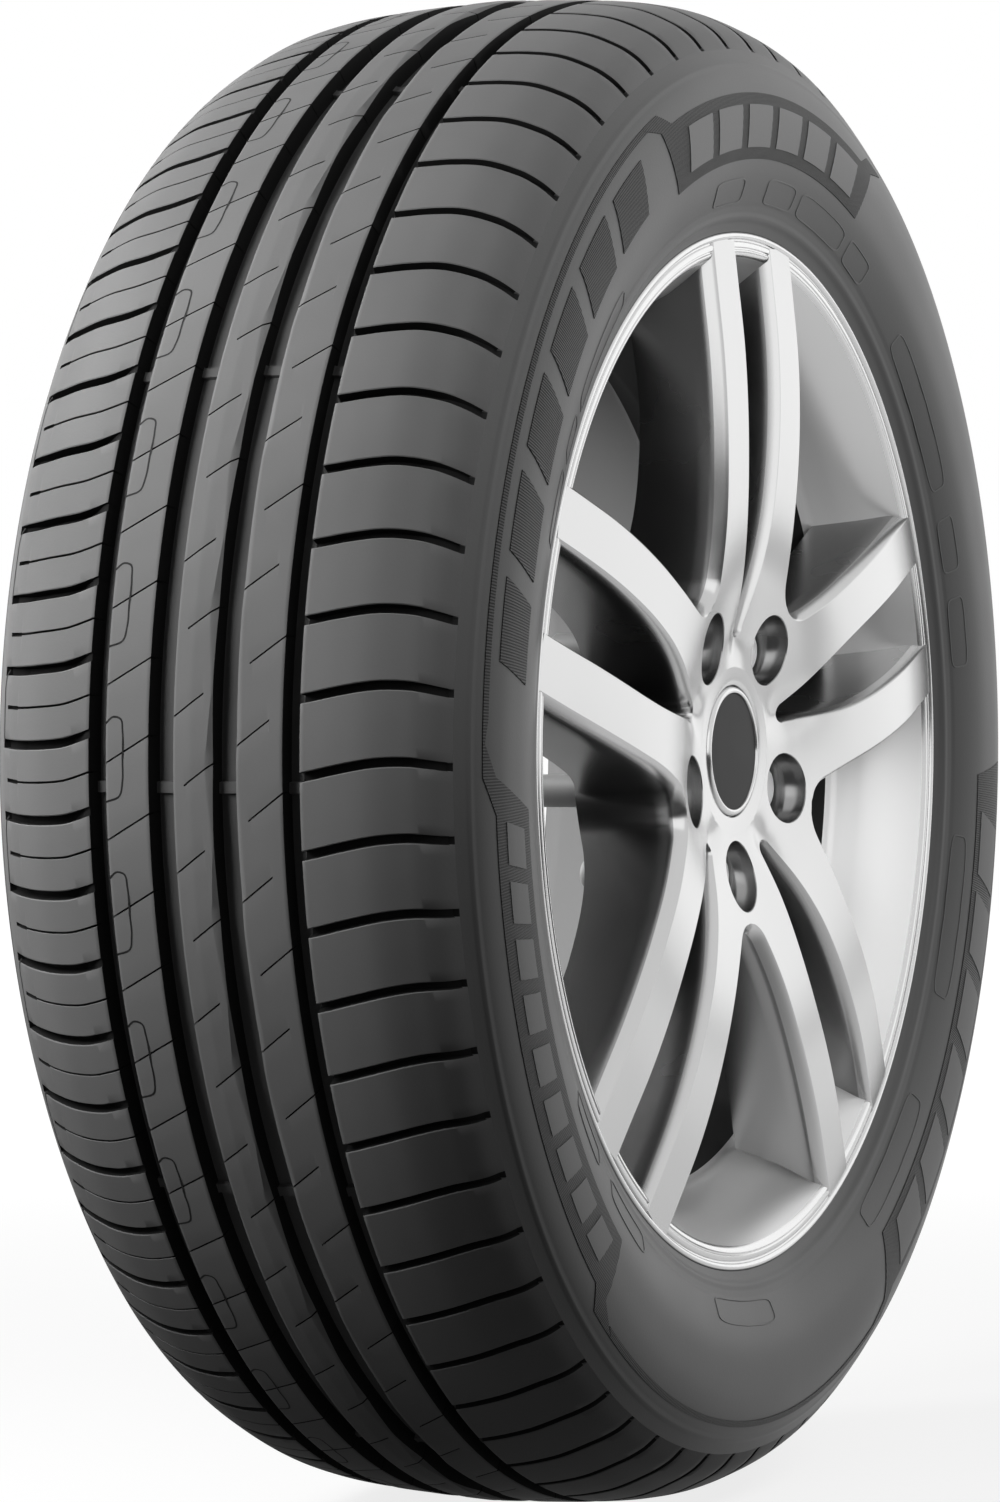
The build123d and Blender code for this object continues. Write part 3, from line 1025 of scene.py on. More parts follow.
@dataclass
class Sidewalls:
    """Both sidewalls, and the raised fields and plain slanted blocks on the outboard one.

    Attributes:
        section: The tyre's outer section.
        columns: Steps round the tyre.
        rows: Steps up the wall.
        rings: Radius, width and height of the fine rings.
        lift: Height of the fields above the wall.
        block_lift: Height of the light blocks above the fields.
        patch_rows: Steps of a patch between its radii.
        patch_steps: Steps of a patch for each degree.
        pattern_height: Height on the wall of one unit of the hatch's pattern.
        dark_fields: Outlines of the dark fields.
        light_rows: Rows of light blocks on the fields.
        dark_row: Row of dark blocks on the wall.
        mark_radii: Smaller and larger radius of the thin outlines.
        mark_spans: First and last face angles of the thin outlines.
        mark_columns: Steps along a thin outline.
        mark_line: Width of its line.
        mark_steps: Shares of that width from its outer foot to its inner foot.
        mark_heights: Heights at those shares.
    """

    section: Section = field(default_factory=Section)
    columns: int = 360
    rows: int = 90
    rings: tuple[tuple[float, float, float], ...] = (
        (293.4, 0.7, 0.45), (228.6, 1.6, 0.9), (233.5, 0.8, -0.35),
    )
    lift: float = 0.35
    block_lift: float = 0.25
    patch_rows: int = 14
    patch_steps: float = 1.5
    pattern_height: float = 100.0
    dark_fields: tuple[FacePatch, ...] = (
        FacePatch(253, 281, 69, 66.5, 115, 116),
        FacePatch(281, 288, 66.5, 63.5, 69.0, 67.0),
        FacePatch(281, 288, 113.5, 115.5, 116, 119),
        FacePatch(285.4, 288, 118, 119, 177, 180),
        FacePatch(281, 288, 181.5, 178.5, 184.5, 181.5),
        FacePatch(255, 281, 184.5, 181.5, 229.5, 230.5),
        FacePatch(281, 288, 228, 230, 230.5, 234),
        FacePatch(285.4, 288, 233, 234, 295, 296),
        FacePatch(281, 288, 297.5, 293, 300, 297),
        FacePatch(252, 281, 300, 297.5, 357, 358.5),
    )
    light_rows: tuple[BlockRow, ...] = (
        BlockRow(258, 276, 71.5, 113.5, 6, 0.78, -1.2),
        BlockRow(261, 275, 186, 229, 9, 0.72, -0.9),
        BlockRow(256, 277, 303.5, 355, 6, 0.78, -1.4),
    )
    dark_row: BlockRow = BlockRow(259, 280, 122.5, 176, 6, 0.76, -1.4)
    mark_radii: tuple[float, float] = (234.5, 245.5)
    mark_spans: Profile = (
        (9, 17), (20, 26.5), (30, 51), (62, 68), (69.5, 82), (83.5, 91), (97, 104.5), (130, 145),
        (146.5, 151), (152.5, 160), (214, 222), (226, 236), (256, 271), (298, 318), (331, 350),
    )
    mark_columns: int = 64
    mark_line: float = 0.7
    mark_steps: Knots = (0.0, 0.15, 0.85, 1.0)
    mark_heights: Knots = (0.0, 0.3, 0.3, 0.0)

    def wall(self, side: int) -> SurfaceGrid:
        """Return one sidewall with its fine rings.

        The lift over the wall is a sum of narrow bell curves of the radius, one for each ring.

        Args:
            side: OUTBOARD or INBOARD.

        Returns:
            A grid closed round the tyre.
        """
        ends = self.section.side_radii
        radius = np.linspace(ends[0], ends[-1], self.rows)[:, None]
        lift = sum(
            height * np.exp(-(((radius - place) / width) ** 2)) for place, width, height in self.rings
        )
        angle = np.linspace(0, 360, self.columns, endpoint=False)[None, :]
        points = self.section.on_side(180 - angle, radius, lift + 0 * angle, side)
        return SurfaceGrid(points, closed=True, reverse=side == INBOARD)

    def patch(self, shape: FacePatch, lift: float, finish: int) -> SurfaceGrid:
        """Return a raised patch whose border turns down to the wall.

        Radii go evenly from the smaller to the larger one, and angles evenly between the slanted ends.
        The first and last rows and columns are doubled, with one of each pair on the wall.

        Args:
            shape: Outline of the patch.
            lift: Height above the wall.
            finish: Index of the finish.

        Returns:
            An open grid.
        """
        rise = np.concatenate([[0], np.linspace(0, 1, self.patch_rows), [1]])[:, None]
        width = abs(shape.end_outer - shape.start_outer)
        steps = max(int(width * self.patch_steps), 3)
        share = np.concatenate([[0], np.linspace(0, 1, steps), [1]])[None, :]
        radius = shape.inner + rise * (shape.outer - shape.inner) + 0 * share
        start = shape.start_inner + rise * (shape.start_outer - shape.start_inner)
        end = shape.end_inner + rise * (shape.end_outer - shape.end_inner)
        angle = start + share * (end - start)
        height = np.full(radius.shape, lift)
        height[[0, -1], :] = 0
        height[:, [0, -1]] = 0
        pattern = np.stack([angle / 360, (radius - shape.inner) / self.pattern_height], -1)
        points = self.section.on_side(angle, radius, height, OUTBOARD)
        return SurfaceGrid(points, reverse=True, finish=finish, pattern=pattern)

    def mark(self, start: float, end: float) -> SurfaceGrid:
        """Return a thin raised outline with rounded corners.

        The outline is a superellipse: each half size times the sign of the cosine or sine of a turn, with
        its size raised to a third. Rows go from its outer foot over the line to its inner foot.

        Args:
            start: First face angle in degrees.
            end: Last face angle.

        Returns:
            A grid closed along the outline.
        """
        turn = np.linspace(0, 2 * math.pi, self.mark_columns, endpoint=False)[None, :]
        wave = np.stack([np.cos(turn), np.sin(turn)])
        across, up = np.sign(wave) * np.abs(wave) ** (1 / 3)
        shrink = np.array(self.mark_steps)[:, None] * self.mark_line
        inner, outer = self.mark_radii
        middle = (inner + outer) / 2
        radius = middle + up * ((outer - inner) / 2 - shrink)
        angle = (start + end) / 2 + across * ((end - start) / 2 - np.degrees(shrink / middle))
        height = np.array(self.mark_heights)[:, None] + 0 * turn
        return SurfaceGrid(self.section.on_side(angle, radius, height, OUTBOARD), closed=True)

    def build(self, paints: Paints) -> list[bpy.types.Object]:
        """Build the sidewalls and what is raised on the outboard one.

        Args:
            paints: Materials of the finishes.

        Returns:
            The two walls, the dark fields and the blocks.
        """
        rubber = [paints["sidewall"]]
        dark = [self.patch(shape, self.lift, 0) for shape in self.dark_fields]
        light = [shape for row in self.light_rows for shape in row.patches()]
        grids = [self.patch(shape, self.lift + self.block_lift, 0) for shape in light]
        grids += [self.patch(shape, self.lift, 1) for shape in self.dark_row.patches()]
        grids += [self.mark(start, end) for start, end in self.mark_spans]
        return [
            build_object("sidewall_outboard", [self.wall(OUTBOARD)], rubber),
            build_object("sidewall_inboard", [self.wall(INBOARD)], rubber),
            build_object("sidewall_fields", dark, [paints["field_dark"]]),
            build_object("sidewall_blocks", grids, [paints["raised"], paints["block_dark"]]),
        ]


@dataclass
class Rim:
    """The rim: bright outer lip, dish, drop well and inboard flange, turned about the axle.

    Attributes:
        columns: Steps round the axle.
        lip: Profile of the outboard lip, from the tyre inwards.
        dish: Profile from the lip to the ramp behind the spokes.
        barrel: Profile of the inside of the barrel.
        flange: Profile of the inboard flange, ending at the tyre.
    """

    columns: int = 360
    lip: Profile = (
        (222.4, -95.0), (222.6, -96.2), (222.2, -97.0), (221.4, -97.4), (220.4, -97.3), (219.6, -96.8),
        (219.3, -96.1), (218.7, -96.0), (218.3, -96.5), (217.4, -96.8), (216.2, -96.7), (215.7, -96.2),
        (215.2, -96.2), (214.8, -96.6), (213.8, -96.5), (212.8, -95.9), (212.0, -94.9),
    )
    dish: Profile = (
        (212.0, -94.9), (208.0, -90.0), (203.6, -84.0), (199.5, -78.0), (196.0, -70.0), (192.0, -61.0),
        (190.6, -58.5), (189.6, -57.6), (188.0, -56.4),
    )
    barrel: Profile = (
        (188.0, -56.4), (178.9, -41.5), (178.3, -39.0), (178.3, -7.0), (179.0, -4.5), (193.6, 14.0),
    )
    flange: Profile = (
        (193.6, 14.0), (194.5, 17.0), (194.5, 80.0), (197.0, 85.0), (206.0, 92.5), (213.0, 97.6),
        (218.0, 98.0), (221.2, 97.4), (222.0, 95.6),
    )

    def build(self, paints: Paints) -> list[bpy.types.Object]:
        """Build the rim.

        Args:
            paints: Materials of the finishes.

        Returns:
            The rim as one piece.
        """
        profiles = enumerate((self.lip, self.dish, self.barrel, self.flange))
        grids = [replace(revolved(line, self.columns, finish), reverse=True) for finish, line in profiles]
        # The drop well takes the near-black finish, painted shade, and the dish the lighter copy of the
        # silver paint, painted light.
        coats = [paints[name] for name in ("cap_ring", "dish", "barrel", "inner_barrel")]
        return [build_object("rim", grids, coats, crease=40, weld=0.01)]


@dataclass
class SpokedFace:
    """The dished face with five pairs of spokes, worked out as half sectors of 36 degrees.

    Each half sector lies between an inner border, which runs out from the hub and then along the slit
    inside the pair, and an outer border, which passes the bolt pocket and then follows the wide window.
    Places in a half sector are (across, along) the pair's axis.

    Attributes:
        pairs: Number of spoke pairs.
        hub_radius: Radius where the face starts, at the collar.
        slit_apex: Distance of the slit's rounded start from the axle.
        slit_round: Radius of that start.
        slit_along: Distances along the axis of the slit's border.
        slit_half: Half widths of the slit there.
        pair_along: Distances along the axis of the pair's outer border.
        pair_half: Half widths of the pair there.
        pocket_circle: Radius of the circle of bolt pockets.
        pocket_mouth: Radius of a pocket's mouth.
        pocket_flare: Steps of radius and depth from a pocket's mouth down its flare.
        pocket_base: Radii and offsets of its straight wall and floor.
        web_radius: Distance of a window's rounded start from the axle.
        web_round: Radius of that start.
        hub_rows: Rows from the collar to the pocket.
        apex_rows: Rows from there to the slit's start, on the inner border.
        bend_rows: Rows round the slit's start.
        pocket_rows: Rows round the pocket, on the outer border.
        web_rows: Rows round the window's start.
        spoke_rows: Rows along the spoke.
        across_steps: Columns from the inner border to the outer one.
        hub_level: Distance along the axis that the inner border has reached at the pocket.
        pocket_level: Distance that it has reached past the pocket.
        web_levels: Distances between which it runs beside the window's start.
        front_radii: Radii of the front's knots.
        front_offsets: Offsets of the front's knots.
        back_radii: Radii of the back's knots.
        back_offsets: Offsets of the back's knots.
        slit_scale: Size of the slit's wall section, against the window's.
        slit_least: Size of that section in a slit of no width.
        slit_growth: Growth of that size with the slit's half width, up to the full scale.
        wall_moves: Moves of a wall's section into the opening, from the front edge to the back.
        wall_drops: Depths of the section's points below the front edge, with the back left out.
        paint_depth: Depth on a wall below which the pockets' darker finish, painted shade, starts.
        reach: Radius where the spokes end inside the lip.
        valley: Depth of the soft valley that runs from the collar into the slit.
        valley_width: Width of the valley.
        valley_radii: Radii of the knots of its depth.
        valley_shares: Shares of its depth there.
        collar: Profile of the stepped collar between the cap and the face.
        hub_back: Profile of the hub's bore behind the face.
        columns: Steps round the axle of the collar and the bore.
        bevel_width: Width of the bevel on sharp edges.
        bevel_segments: Steps across that bevel.
        bevel_angle: Turn in degrees beyond which an edge is bevelled.
    """

    pairs: int = 5
    hub_radius: float = 36.2
    slit_apex: float = 49.0
    slit_round: float = 4.5
    slit_along: Knots = (53.5, 65, 75, 85, 100, 125, 150, 175, 200, 215)
    slit_half: Knots = (4.5, 6.9, 9.1, 11.2, 13.9, 16.8, 18.4, 19.4, 20.0, 20.1)
    pair_along: Knots = (73.6, 85, 100, 125, 150, 175, 200, 215)
    pair_half: Knots = (36.45, 36.65, 37.4, 39.3, 40.9, 42.0, 42.4, 42.5)
    pocket_circle: float = 54.0
    pocket_mouth: float = 15.5
    pocket_flare: Profile = ((0.0, 0.0), (-0.3, 0.4), (-0.5, 3.6), (-1.0, 5.4), (-2.1, 8.2), (-2.65, 9.2))
    pocket_base: Profile = ((12.85, -67.0), (12.25, -66.0), (6.0, -66.0))
    web_radius: float = 74.0
    web_round: float = 17.0
    hub_rows: int = 3
    apex_rows: int = 4
    bend_rows: int = 7
    pocket_rows: int = 17
    web_rows: int = 9
    spoke_rows: int = 34
    across_steps: int = 15
    hub_level: float = 38.0
    pocket_level: float = 79.0
    web_levels: tuple[float, float] = (80.5, 90.0)
    front_radii: Knots = (28, 40, 49, 60, 75, 100, 125, 150, 175, 200, 215, 222)
    front_offsets: Knots = (
        -88.0, -89.3, -90.5, -93.0, -96.5, -100.5, -102.3, -102.6, -101.5, -98.9, -97.2, -96.4,
    )
    back_radii: Knots = (30, 70, 76, 95, 145, 200, 222)
    back_offsets: Knots = (-45.0, -45.0, -47.0, -55.5, -64.0, -59.0, -58.0)
    slit_scale: float = 0.6
    slit_least: float = 0.1
    slit_growth: float = 0.07
    wall_moves: Knots = (0.0, 0.8, 2.2, 3.5, 4.2, 4.4, 4.7, 5.0)
    wall_drops: Knots = (0.0, 0.5, 2.6, 5.2, 7.6, 13.0, 22.0)
    paint_depth: float = 6.0
    reach: float = 217.6
    valley: float = 1.8
    valley_width: float = 7.0
    valley_radii: Knots = (36.2, 44.0, 52.0, 68.0, 85.0)
    valley_shares: Knots = (0.0, 0.75, 1.0, 0.5, 0.0)
    collar: Profile = (
        (26.9, -80.0), (26.9, -85.2), (28.4, -85.4), (28.45, -87.4), (28.7, -87.9), (29.3, -88.15),
        (31.0, -88.35), (33.0, -88.55), (36.2, -88.85),
    )
    hub_back: Profile = (
        (36.2, -45.0), (32.6, -45.0), (31.7, -45.9), (31.7, -63.0), (26.9, -63.0), (26.9, -80.0),
    )
    columns: int = 160
    bevel_width: float = 0.8
    bevel_segments: int = 3
    bevel_angle: float = 38.0

    def _turned(self, across: np.ndarray, along: np.ndarray) -> np.ndarray:
        """Return (across, along) places turned by half a sector, from a pair's axis to the window's."""
        c, s = math.cos(math.pi / self.pairs), math.sin(math.pi / self.pairs)
        return np.stack([across * c + along * s, -across * s + along * c], -1)

    def borders(self) -> tuple[np.ndarray, np.ndarray, dict[str, slice]]:
        """Return the inner and outer borders, row by row, and the rows that belong to each wall.

        The outer border is a ray from the collar, half the pocket's circle, an arc round the window's
        start and the pair's edge. The inner border keeps to the pair's axis, then follows the slit.

        Returns:
            Inner border, outer border, and slices named slit, pocket and window.
        """
        ray = np.linspace(self.hub_radius, self.pocket_circle - self.pocket_mouth, self.hub_rows)
        swing = np.linspace(0, math.pi, self.pocket_rows)
        circle = self.pocket_circle - self.pocket_mouth * np.cos(swing)
        pocket = self._turned(-self.pocket_mouth * np.sin(swing), circle)
        swing = np.linspace(0, math.pi / 2 - math.pi / self.pairs, self.web_rows)
        arc = self.web_radius + self.web_round * (1 - np.cos(swing))
        web = self._turned(-self.web_round * np.sin(swing), arc)
        along = np.linspace(web[-1, 1], self.reach, self.spoke_rows)[1:]
        edge = np.stack([smooth_curve(self.pair_along, self.pair_half)(along), along], -1)
        outer = np.concatenate([self._turned(0 * ray, ray), pocket[1:], web, edge])
        bend = np.linspace(0, math.pi / 2, self.bend_rows + 1)[1:]
        beside = self.pocket_rows - self.apex_rows - self.bend_rows
        levels = np.concatenate(
            [
                np.linspace(self.hub_radius, self.hub_level, self.hub_rows),
                np.linspace(self.hub_level, self.slit_apex, self.apex_rows + 1)[1:],
                self.slit_apex + self.slit_round * (1 - np.cos(bend)),
                np.linspace(self.slit_along[0], self.pocket_level, beside)[1:],
                np.linspace(*self.web_levels, self.web_rows),
                np.linspace(self.web_levels[1], self.reach, self.spoke_rows)[1:],
            ]
        )
        inner = np.stack([self._slit_half(levels), levels], -1)
        pocket_end = self.hub_rows + self.pocket_rows - 1
        return inner, outer, {
            "slit": slice(self.hub_rows + self.apex_rows - 1, len(outer)),
            "pocket": slice(self.hub_rows - 1, pocket_end),
            "window": slice(pocket_end, len(outer)),
        }

    def _slit_half(self, along: np.ndarray) -> np.ndarray:
        """Return the slit's half width: none before it, a half circle, then its border.

        Args:
            along: Distances along the axis.

        Returns:
            Half widths there.
        """
        rise = np.clip(along - self.slit_apex, 0, self.slit_round)
        circle = np.sqrt(np.maximum(self.slit_round**2 - (self.slit_round - rise) ** 2, 0))
        border = smooth_curve(self.slit_along, self.slit_half)(along)
        return np.where(along < self.slit_along[0], circle, border)

    def _raised(self, places: np.ndarray, offset: np.ndarray) -> np.ndarray:
        """Return (across, along) places with an offset along the axle, upright, in metres."""
        stacked = np.broadcast_arrays(places[..., 0], offset, places[..., 1])
        return np.stack(stacked, -1) * MILLIMETRE

    def half_sector(self) -> list[SurfaceGrid]:
        """Return the front, back and walls of one half sector beside the upright pair axis.

        The front and the back are filled in between their borders by radius and by angle.

        Returns:
            Open grids whose edges meet.
        """
        inner, outer, walls = self.borders()
        growth = self.slit_least + self.slit_growth * np.maximum(inner[:, 0], self.slit_round)
        scale = np.minimum(self.slit_scale, growth)
        slit = self._flared(inner, walls["slit"], scale, self._axis(0.0), -1)
        square = np.ones(len(outer))
        window = self._flared(outer, walls["window"], square, self._axis(math.pi / self.pairs), 1)
        share = np.linspace(0, 1, self.across_steps)
        grids = []
        faces = ((inner, outer, self._front, False), (slit[-1], window[-1], self._back, True))
        for near, far, height, turned in faces:
            sizes = [np.hypot(place[:, 0], place[:, 1])[:, None] for place in (near, far)]
            swings = [np.arctan2(place[:, 0], place[:, 1])[:, None] for place in (near, far)]
            radius = sizes[0] * (1 - share) + sizes[1] * share
            swing = swings[0] * (1 - share) + swings[1] * share
            face = np.stack([radius * np.sin(swing), radius * np.cos(swing)], -1)
            grids.append(SurfaceGrid(self._raised(face, height(face)), reverse=turned))
        grids.append(self._wall(slit[:, walls["slit"]], True))
        grids.append(self._wall(window[:, walls["window"]], False))
        grids.append(self._pocket_wall(outer[walls["pocket"]]))
        return grids

    @staticmethod
    def _axis(angle: float) -> np.ndarray:
        """Return the (across, along) direction at an angle from the pair's axis."""
        return np.array([math.sin(angle), math.cos(angle)])

    def _front(self, places: np.ndarray) -> np.ndarray:
        """Return the front's offset at (across, along) places.

        It is a curve of the radius, sunk along the pair's axis by a bell curve of the distance across
        that starts at the collar and fades to nothing further out.

        Args:
            places: Places on the face.

        Returns:
            Offsets along the axle.
        """
        radius = np.hypot(places[..., 0], places[..., 1])
        bell = np.exp(-((places[..., 0] / self.valley_width) ** 2))
        fade = smooth_curve(self.valley_radii, self.valley_shares)(radius)
        return smooth_curve(self.front_radii, self.front_offsets)(radius) + self.valley * bell * fade

    def _back(self, places: np.ndarray) -> np.ndarray:
        """Return the back's offset at (across, along) places, a curve of the radius."""
        return smooth_curve(self.back_radii, self.back_offsets)(np.hypot(places[..., 0], places[..., 1]))

    def _flared(
        self, border: np.ndarray, rows: slice, scale: np.ndarray, first: np.ndarray, side: int
    ) -> np.ndarray:
        """Return a border repeated from the front to the back, moving into the opening on the way.

        The moves follow the wall's rounded section. They are square to the border, and none on rows
        without a wall.

        Args:
            border: Places row by row.
            rows: Rows that have a wall.
            scale: Size of the section on every row.
            first: Direction of the move on the wall's first row, where two halves meet.
            side: 1 to move to the right of the border's direction and -1 to the left.

        Returns:
            Section points by rows by two.
        """
        direction = np.gradient(border[rows], axis=0)
        direction /= np.linalg.norm(direction, axis=1, keepdims=True)
        normal = np.zeros_like(border)
        normal[rows] = side * np.stack([direction[:, 1], -direction[:, 0]], -1)
        normal[rows.start] = first
        moves = np.array(self.wall_moves)[:, None, None]
        return border + normal * scale[:, None] * moves

    def _wall(self, places: np.ndarray, turned: bool) -> SurfaceGrid:
        """Return the side wall below a border, with the pockets' darker finish below its chamfer as painted
        shade.

        Offsets are the front's at the border plus the section's drops, and at the end the back's.

        Args:
            places: Section points by rows by two, from the front to the back.
            turned: The faces are turned round.

        Returns:
            An open grid.
        """
        front = self._front(places[0])
        drops = np.array(self.wall_drops)[:, None]
        offset = np.vstack([front + drops, self._back(places[-1])])
        points = self._raised(places, offset).transpose(1, 0, 2)
        # Faces deeper than the limit take the darker pocket finish: painted shade on the deep walls.
        return SurfaceGrid(points, reverse=turned, depth=(offset - front).T, deep=self.paint_depth)

    def _pocket_wall(self, border: np.ndarray) -> SurfaceGrid:
        """Return half of a bolt pocket below its mouth: a flare, a straight wall and the floor.

        Each step keeps the mouth's directions from the pocket's centre and has a radius of its own. The
        flare is sunk from the front, and the wall and floor have plain offsets.

        Args:
            border: Places round the mouth, row by row.

        Returns:
            An open grid.
        """
        centre = self._turned(np.array(0.0), np.array(self.pocket_circle))
        outward = (border - centre)[:, None, :] / self.pocket_mouth
        flare, base = np.array(self.pocket_flare), np.array(self.pocket_base)
        radius = np.concatenate([self.pocket_mouth + flare[:, 0], base[:, 0]])[:, None]
        mouth = self._front(border)[:, None]
        offset = np.hstack([mouth + flare[:, 1], 0 * mouth + base[:, 1]])
        # The pocket takes the darker finish: painted shade inside the recess.
        return SurfaceGrid(self._raised(centre + outward * radius, offset), finish=1)

    def build(self, paints: Paints) -> list[bpy.types.Object]:
        """Build the spoked face with small bevels on its edges.

        Args:
            paints: Materials of the finishes.

        Returns:
            The face as one piece.
        """
        grids = []
        base = self.half_sector()
        mirror = np.array([-1.0, 1.0, 1.0])
        for number in range(self.pairs):
            turn = 2 * math.pi * number / self.pairs
            c, s = math.cos(turn), math.sin(turn)
            spin = np.array([[c, 0, s], [0, 1, 0], [-s, 0, c]])
            for grid in base:
                grids.append(replace(grid, points=grid.points @ spin))
                grids.append(replace(grid, points=(grid.points * mirror) @ spin, reverse=not grid.reverse))
        grids += [revolved(profile, self.columns) for profile in (self.collar, self.hub_back)]
        # The second finish is the darker pocket copy, painted shade in pockets and on deep walls.
        coats = [paints["spoke"], paints["pocket"]]
        built = build_object("spoked_face", grids, coats, crease=30, weld=0.02)
        bevel = built.modifiers.new("edge_bevel", "BEVEL")
        bevel.width = self.bevel_width * MILLIMETRE
        bevel.segments = self.bevel_segments
        bevel.limit_method = "ANGLE"
        bevel.angle_limit = math.radians(self.bevel_angle)
        bevel.harden_normals = True
        return [built]


@dataclass
class WheelBolts:
    """The five wheel bolts: flange, hexagon head with a turned chamfer, cone seat and shank.

    Attributes:
        count: Number of bolts.
        circle: Radius of their circle.
        flats: Width across the head's flats.
        head: Offsets of the head's rows and the turned limits of their radii.
        body: Offsets and radii of the flange, the cone and the shank.
        seat: Offset of the cone's wide end, beyond which the shank's darker finish, painted shade, starts.
        columns: Steps round a bolt.
    """

    count: int = 5
    circle: float = 54.0
    flats: float = 17.0
    head: Profile = (
        (-83.2, 0.05), (-83.2, 4.2), (-83.0, 7.4), (-82.6, 8.2), (-81.8, 9.1), (-80.9, 10.0), (-69.0, 10.0),
        (-68.4, 10.0),
    )
    body: Profile = (
        (-68.2, 10.6), (-68.0, 11.6), (-67.4, 12.0), (-66.2, 12.0), (-56.6, 6.4), (-45.0, 6.4), (-45.0, 7.0),
        (-19.6, 7.0), (-18.1, 5.6), (-18.1, 0.05),
    )
    seat: float = -66.0
    columns: int = 72

    def bolt(self, place: float) -> SurfaceGrid:
        """Return one bolt on the circle at a face angle in degrees.

        The head's radius at an angle is half the flats over the cosine of the angle from the nearest
        flat, and never more than the turned limit of the row. Faces whose corners are all beyond the
        seat take the shank's darker finish, painted shade; the head's pale finish is painted light.

        Args:
            place: Face angle of the bolt.

        Returns:
            A grid closed round the bolt's axis.
        """
        turn = np.linspace(0, 2 * math.pi, self.columns, endpoint=False)
        sixth = math.pi / 3
        hexagon = self.flats / 2 / np.cos(np.mod(turn + sixth / 2, sixth) - sixth / 2)
        head, body = np.array(self.head), np.array(self.body)
        radius = np.vstack([np.minimum(hexagon, head[:, 1:]), body[:, 1:] + 0 * turn])
        offset = np.concatenate([head[:, :1], body[:, :1]])
        angle = math.radians(place)
        x = self.circle * math.cos(angle) + radius * np.cos(turn + angle)
        z = self.circle * math.sin(angle) + radius * np.sin(turn + angle)
        points = np.stack(np.broadcast_arrays(x, offset, z), -1) * MILLIMETRE
        # Rows behind the seat take the darker shank finish: painted shade.
        beyond = np.where(offset > self.seat, 1.0, 0.0) + 0 * radius
        return SurfaceGrid(points, closed=True, reverse=True, depth=beyond, deep=0.9)

    def build(self, paints: Paints) -> list[bpy.types.Object]:
        """Build the bolts.

        Args:
            paints: Materials of the finishes.

        Returns:
            All the bolts as one piece.
        """
        step = 360.0 / self.count
        grids = [self.bolt(90 + step / 2 + number * step) for number in range(self.count)]
        return [build_object("bolts", grids, [paints["bolt"], paints["shank"]], crease=25, weld=0.06)]


@dataclass
class CentreCap:
    """The centre cap: bright ring and a plain dark disc.

    Attributes:
        ring: Profile of the ring and the skirt behind it.
        plate: Profile of the plate behind the disc.
        disc: Profile of the disc.
        columns: Steps round the axle.
    """

    ring: Profile = (
        (24.7, -86.0), (25.1, -88.2), (25.3, -88.7), (25.7, -88.9), (26.4, -88.9), (27.1, -88.6),
        (27.7, -87.9), (28.0, -87.0), (28.1, -85.6), (26.7, -85.4), (26.7, -74.0), (25.0, -74.0),
        (25.0, -85.0),
    )
    plate: Profile = ((0.05, -85.3), (12.0, -85.3), (25.0, -85.3))
    disc: Profile = (
        (0.05, -88.55), (8.0, -88.5), (16.0, -88.36), (22.0, -88.2), (24.7, -88.1), (25.0, -87.8),
        (25.0, -87.2),
    )
    columns: int = 160

    def build(self, paints: Paints) -> list[bpy.types.Object]:
        """Build the ring and the disc.

        Args:
            paints: Materials of the finishes.

        Returns:
            The ring and the disc.
        """
        ring, plate, disc = (revolved(line, self.columns) for line in (self.ring, self.plate, self.disc))
        return [
            build_object("cap_front_ring", [ring, plate], [paints["cap_ring"]], crease=40),
            build_object("cap_front_disc", [disc], [paints["cap_disc"]], crease=40),
        ]


class Shown(Enum):
    """Which part of the surfaces' light a lamp gives."""

    ALL = "all"
    GLOSSY = "glossy"
    MATT = "matt"


@dataclass(frozen=True)
class Lamp:
    """A soft square studio lamp.

    Attributes:
        name: Name of the lamp.
        place: Position in metres.
        size: Width in metres.
        power: Power in watts.
        shown: Whether it lights matt colour, shows in gloss, or both.
    """

    name: str
    place: tuple[float, float, float]
    size: float
    power: float
    shown: Shown = Shown.ALL


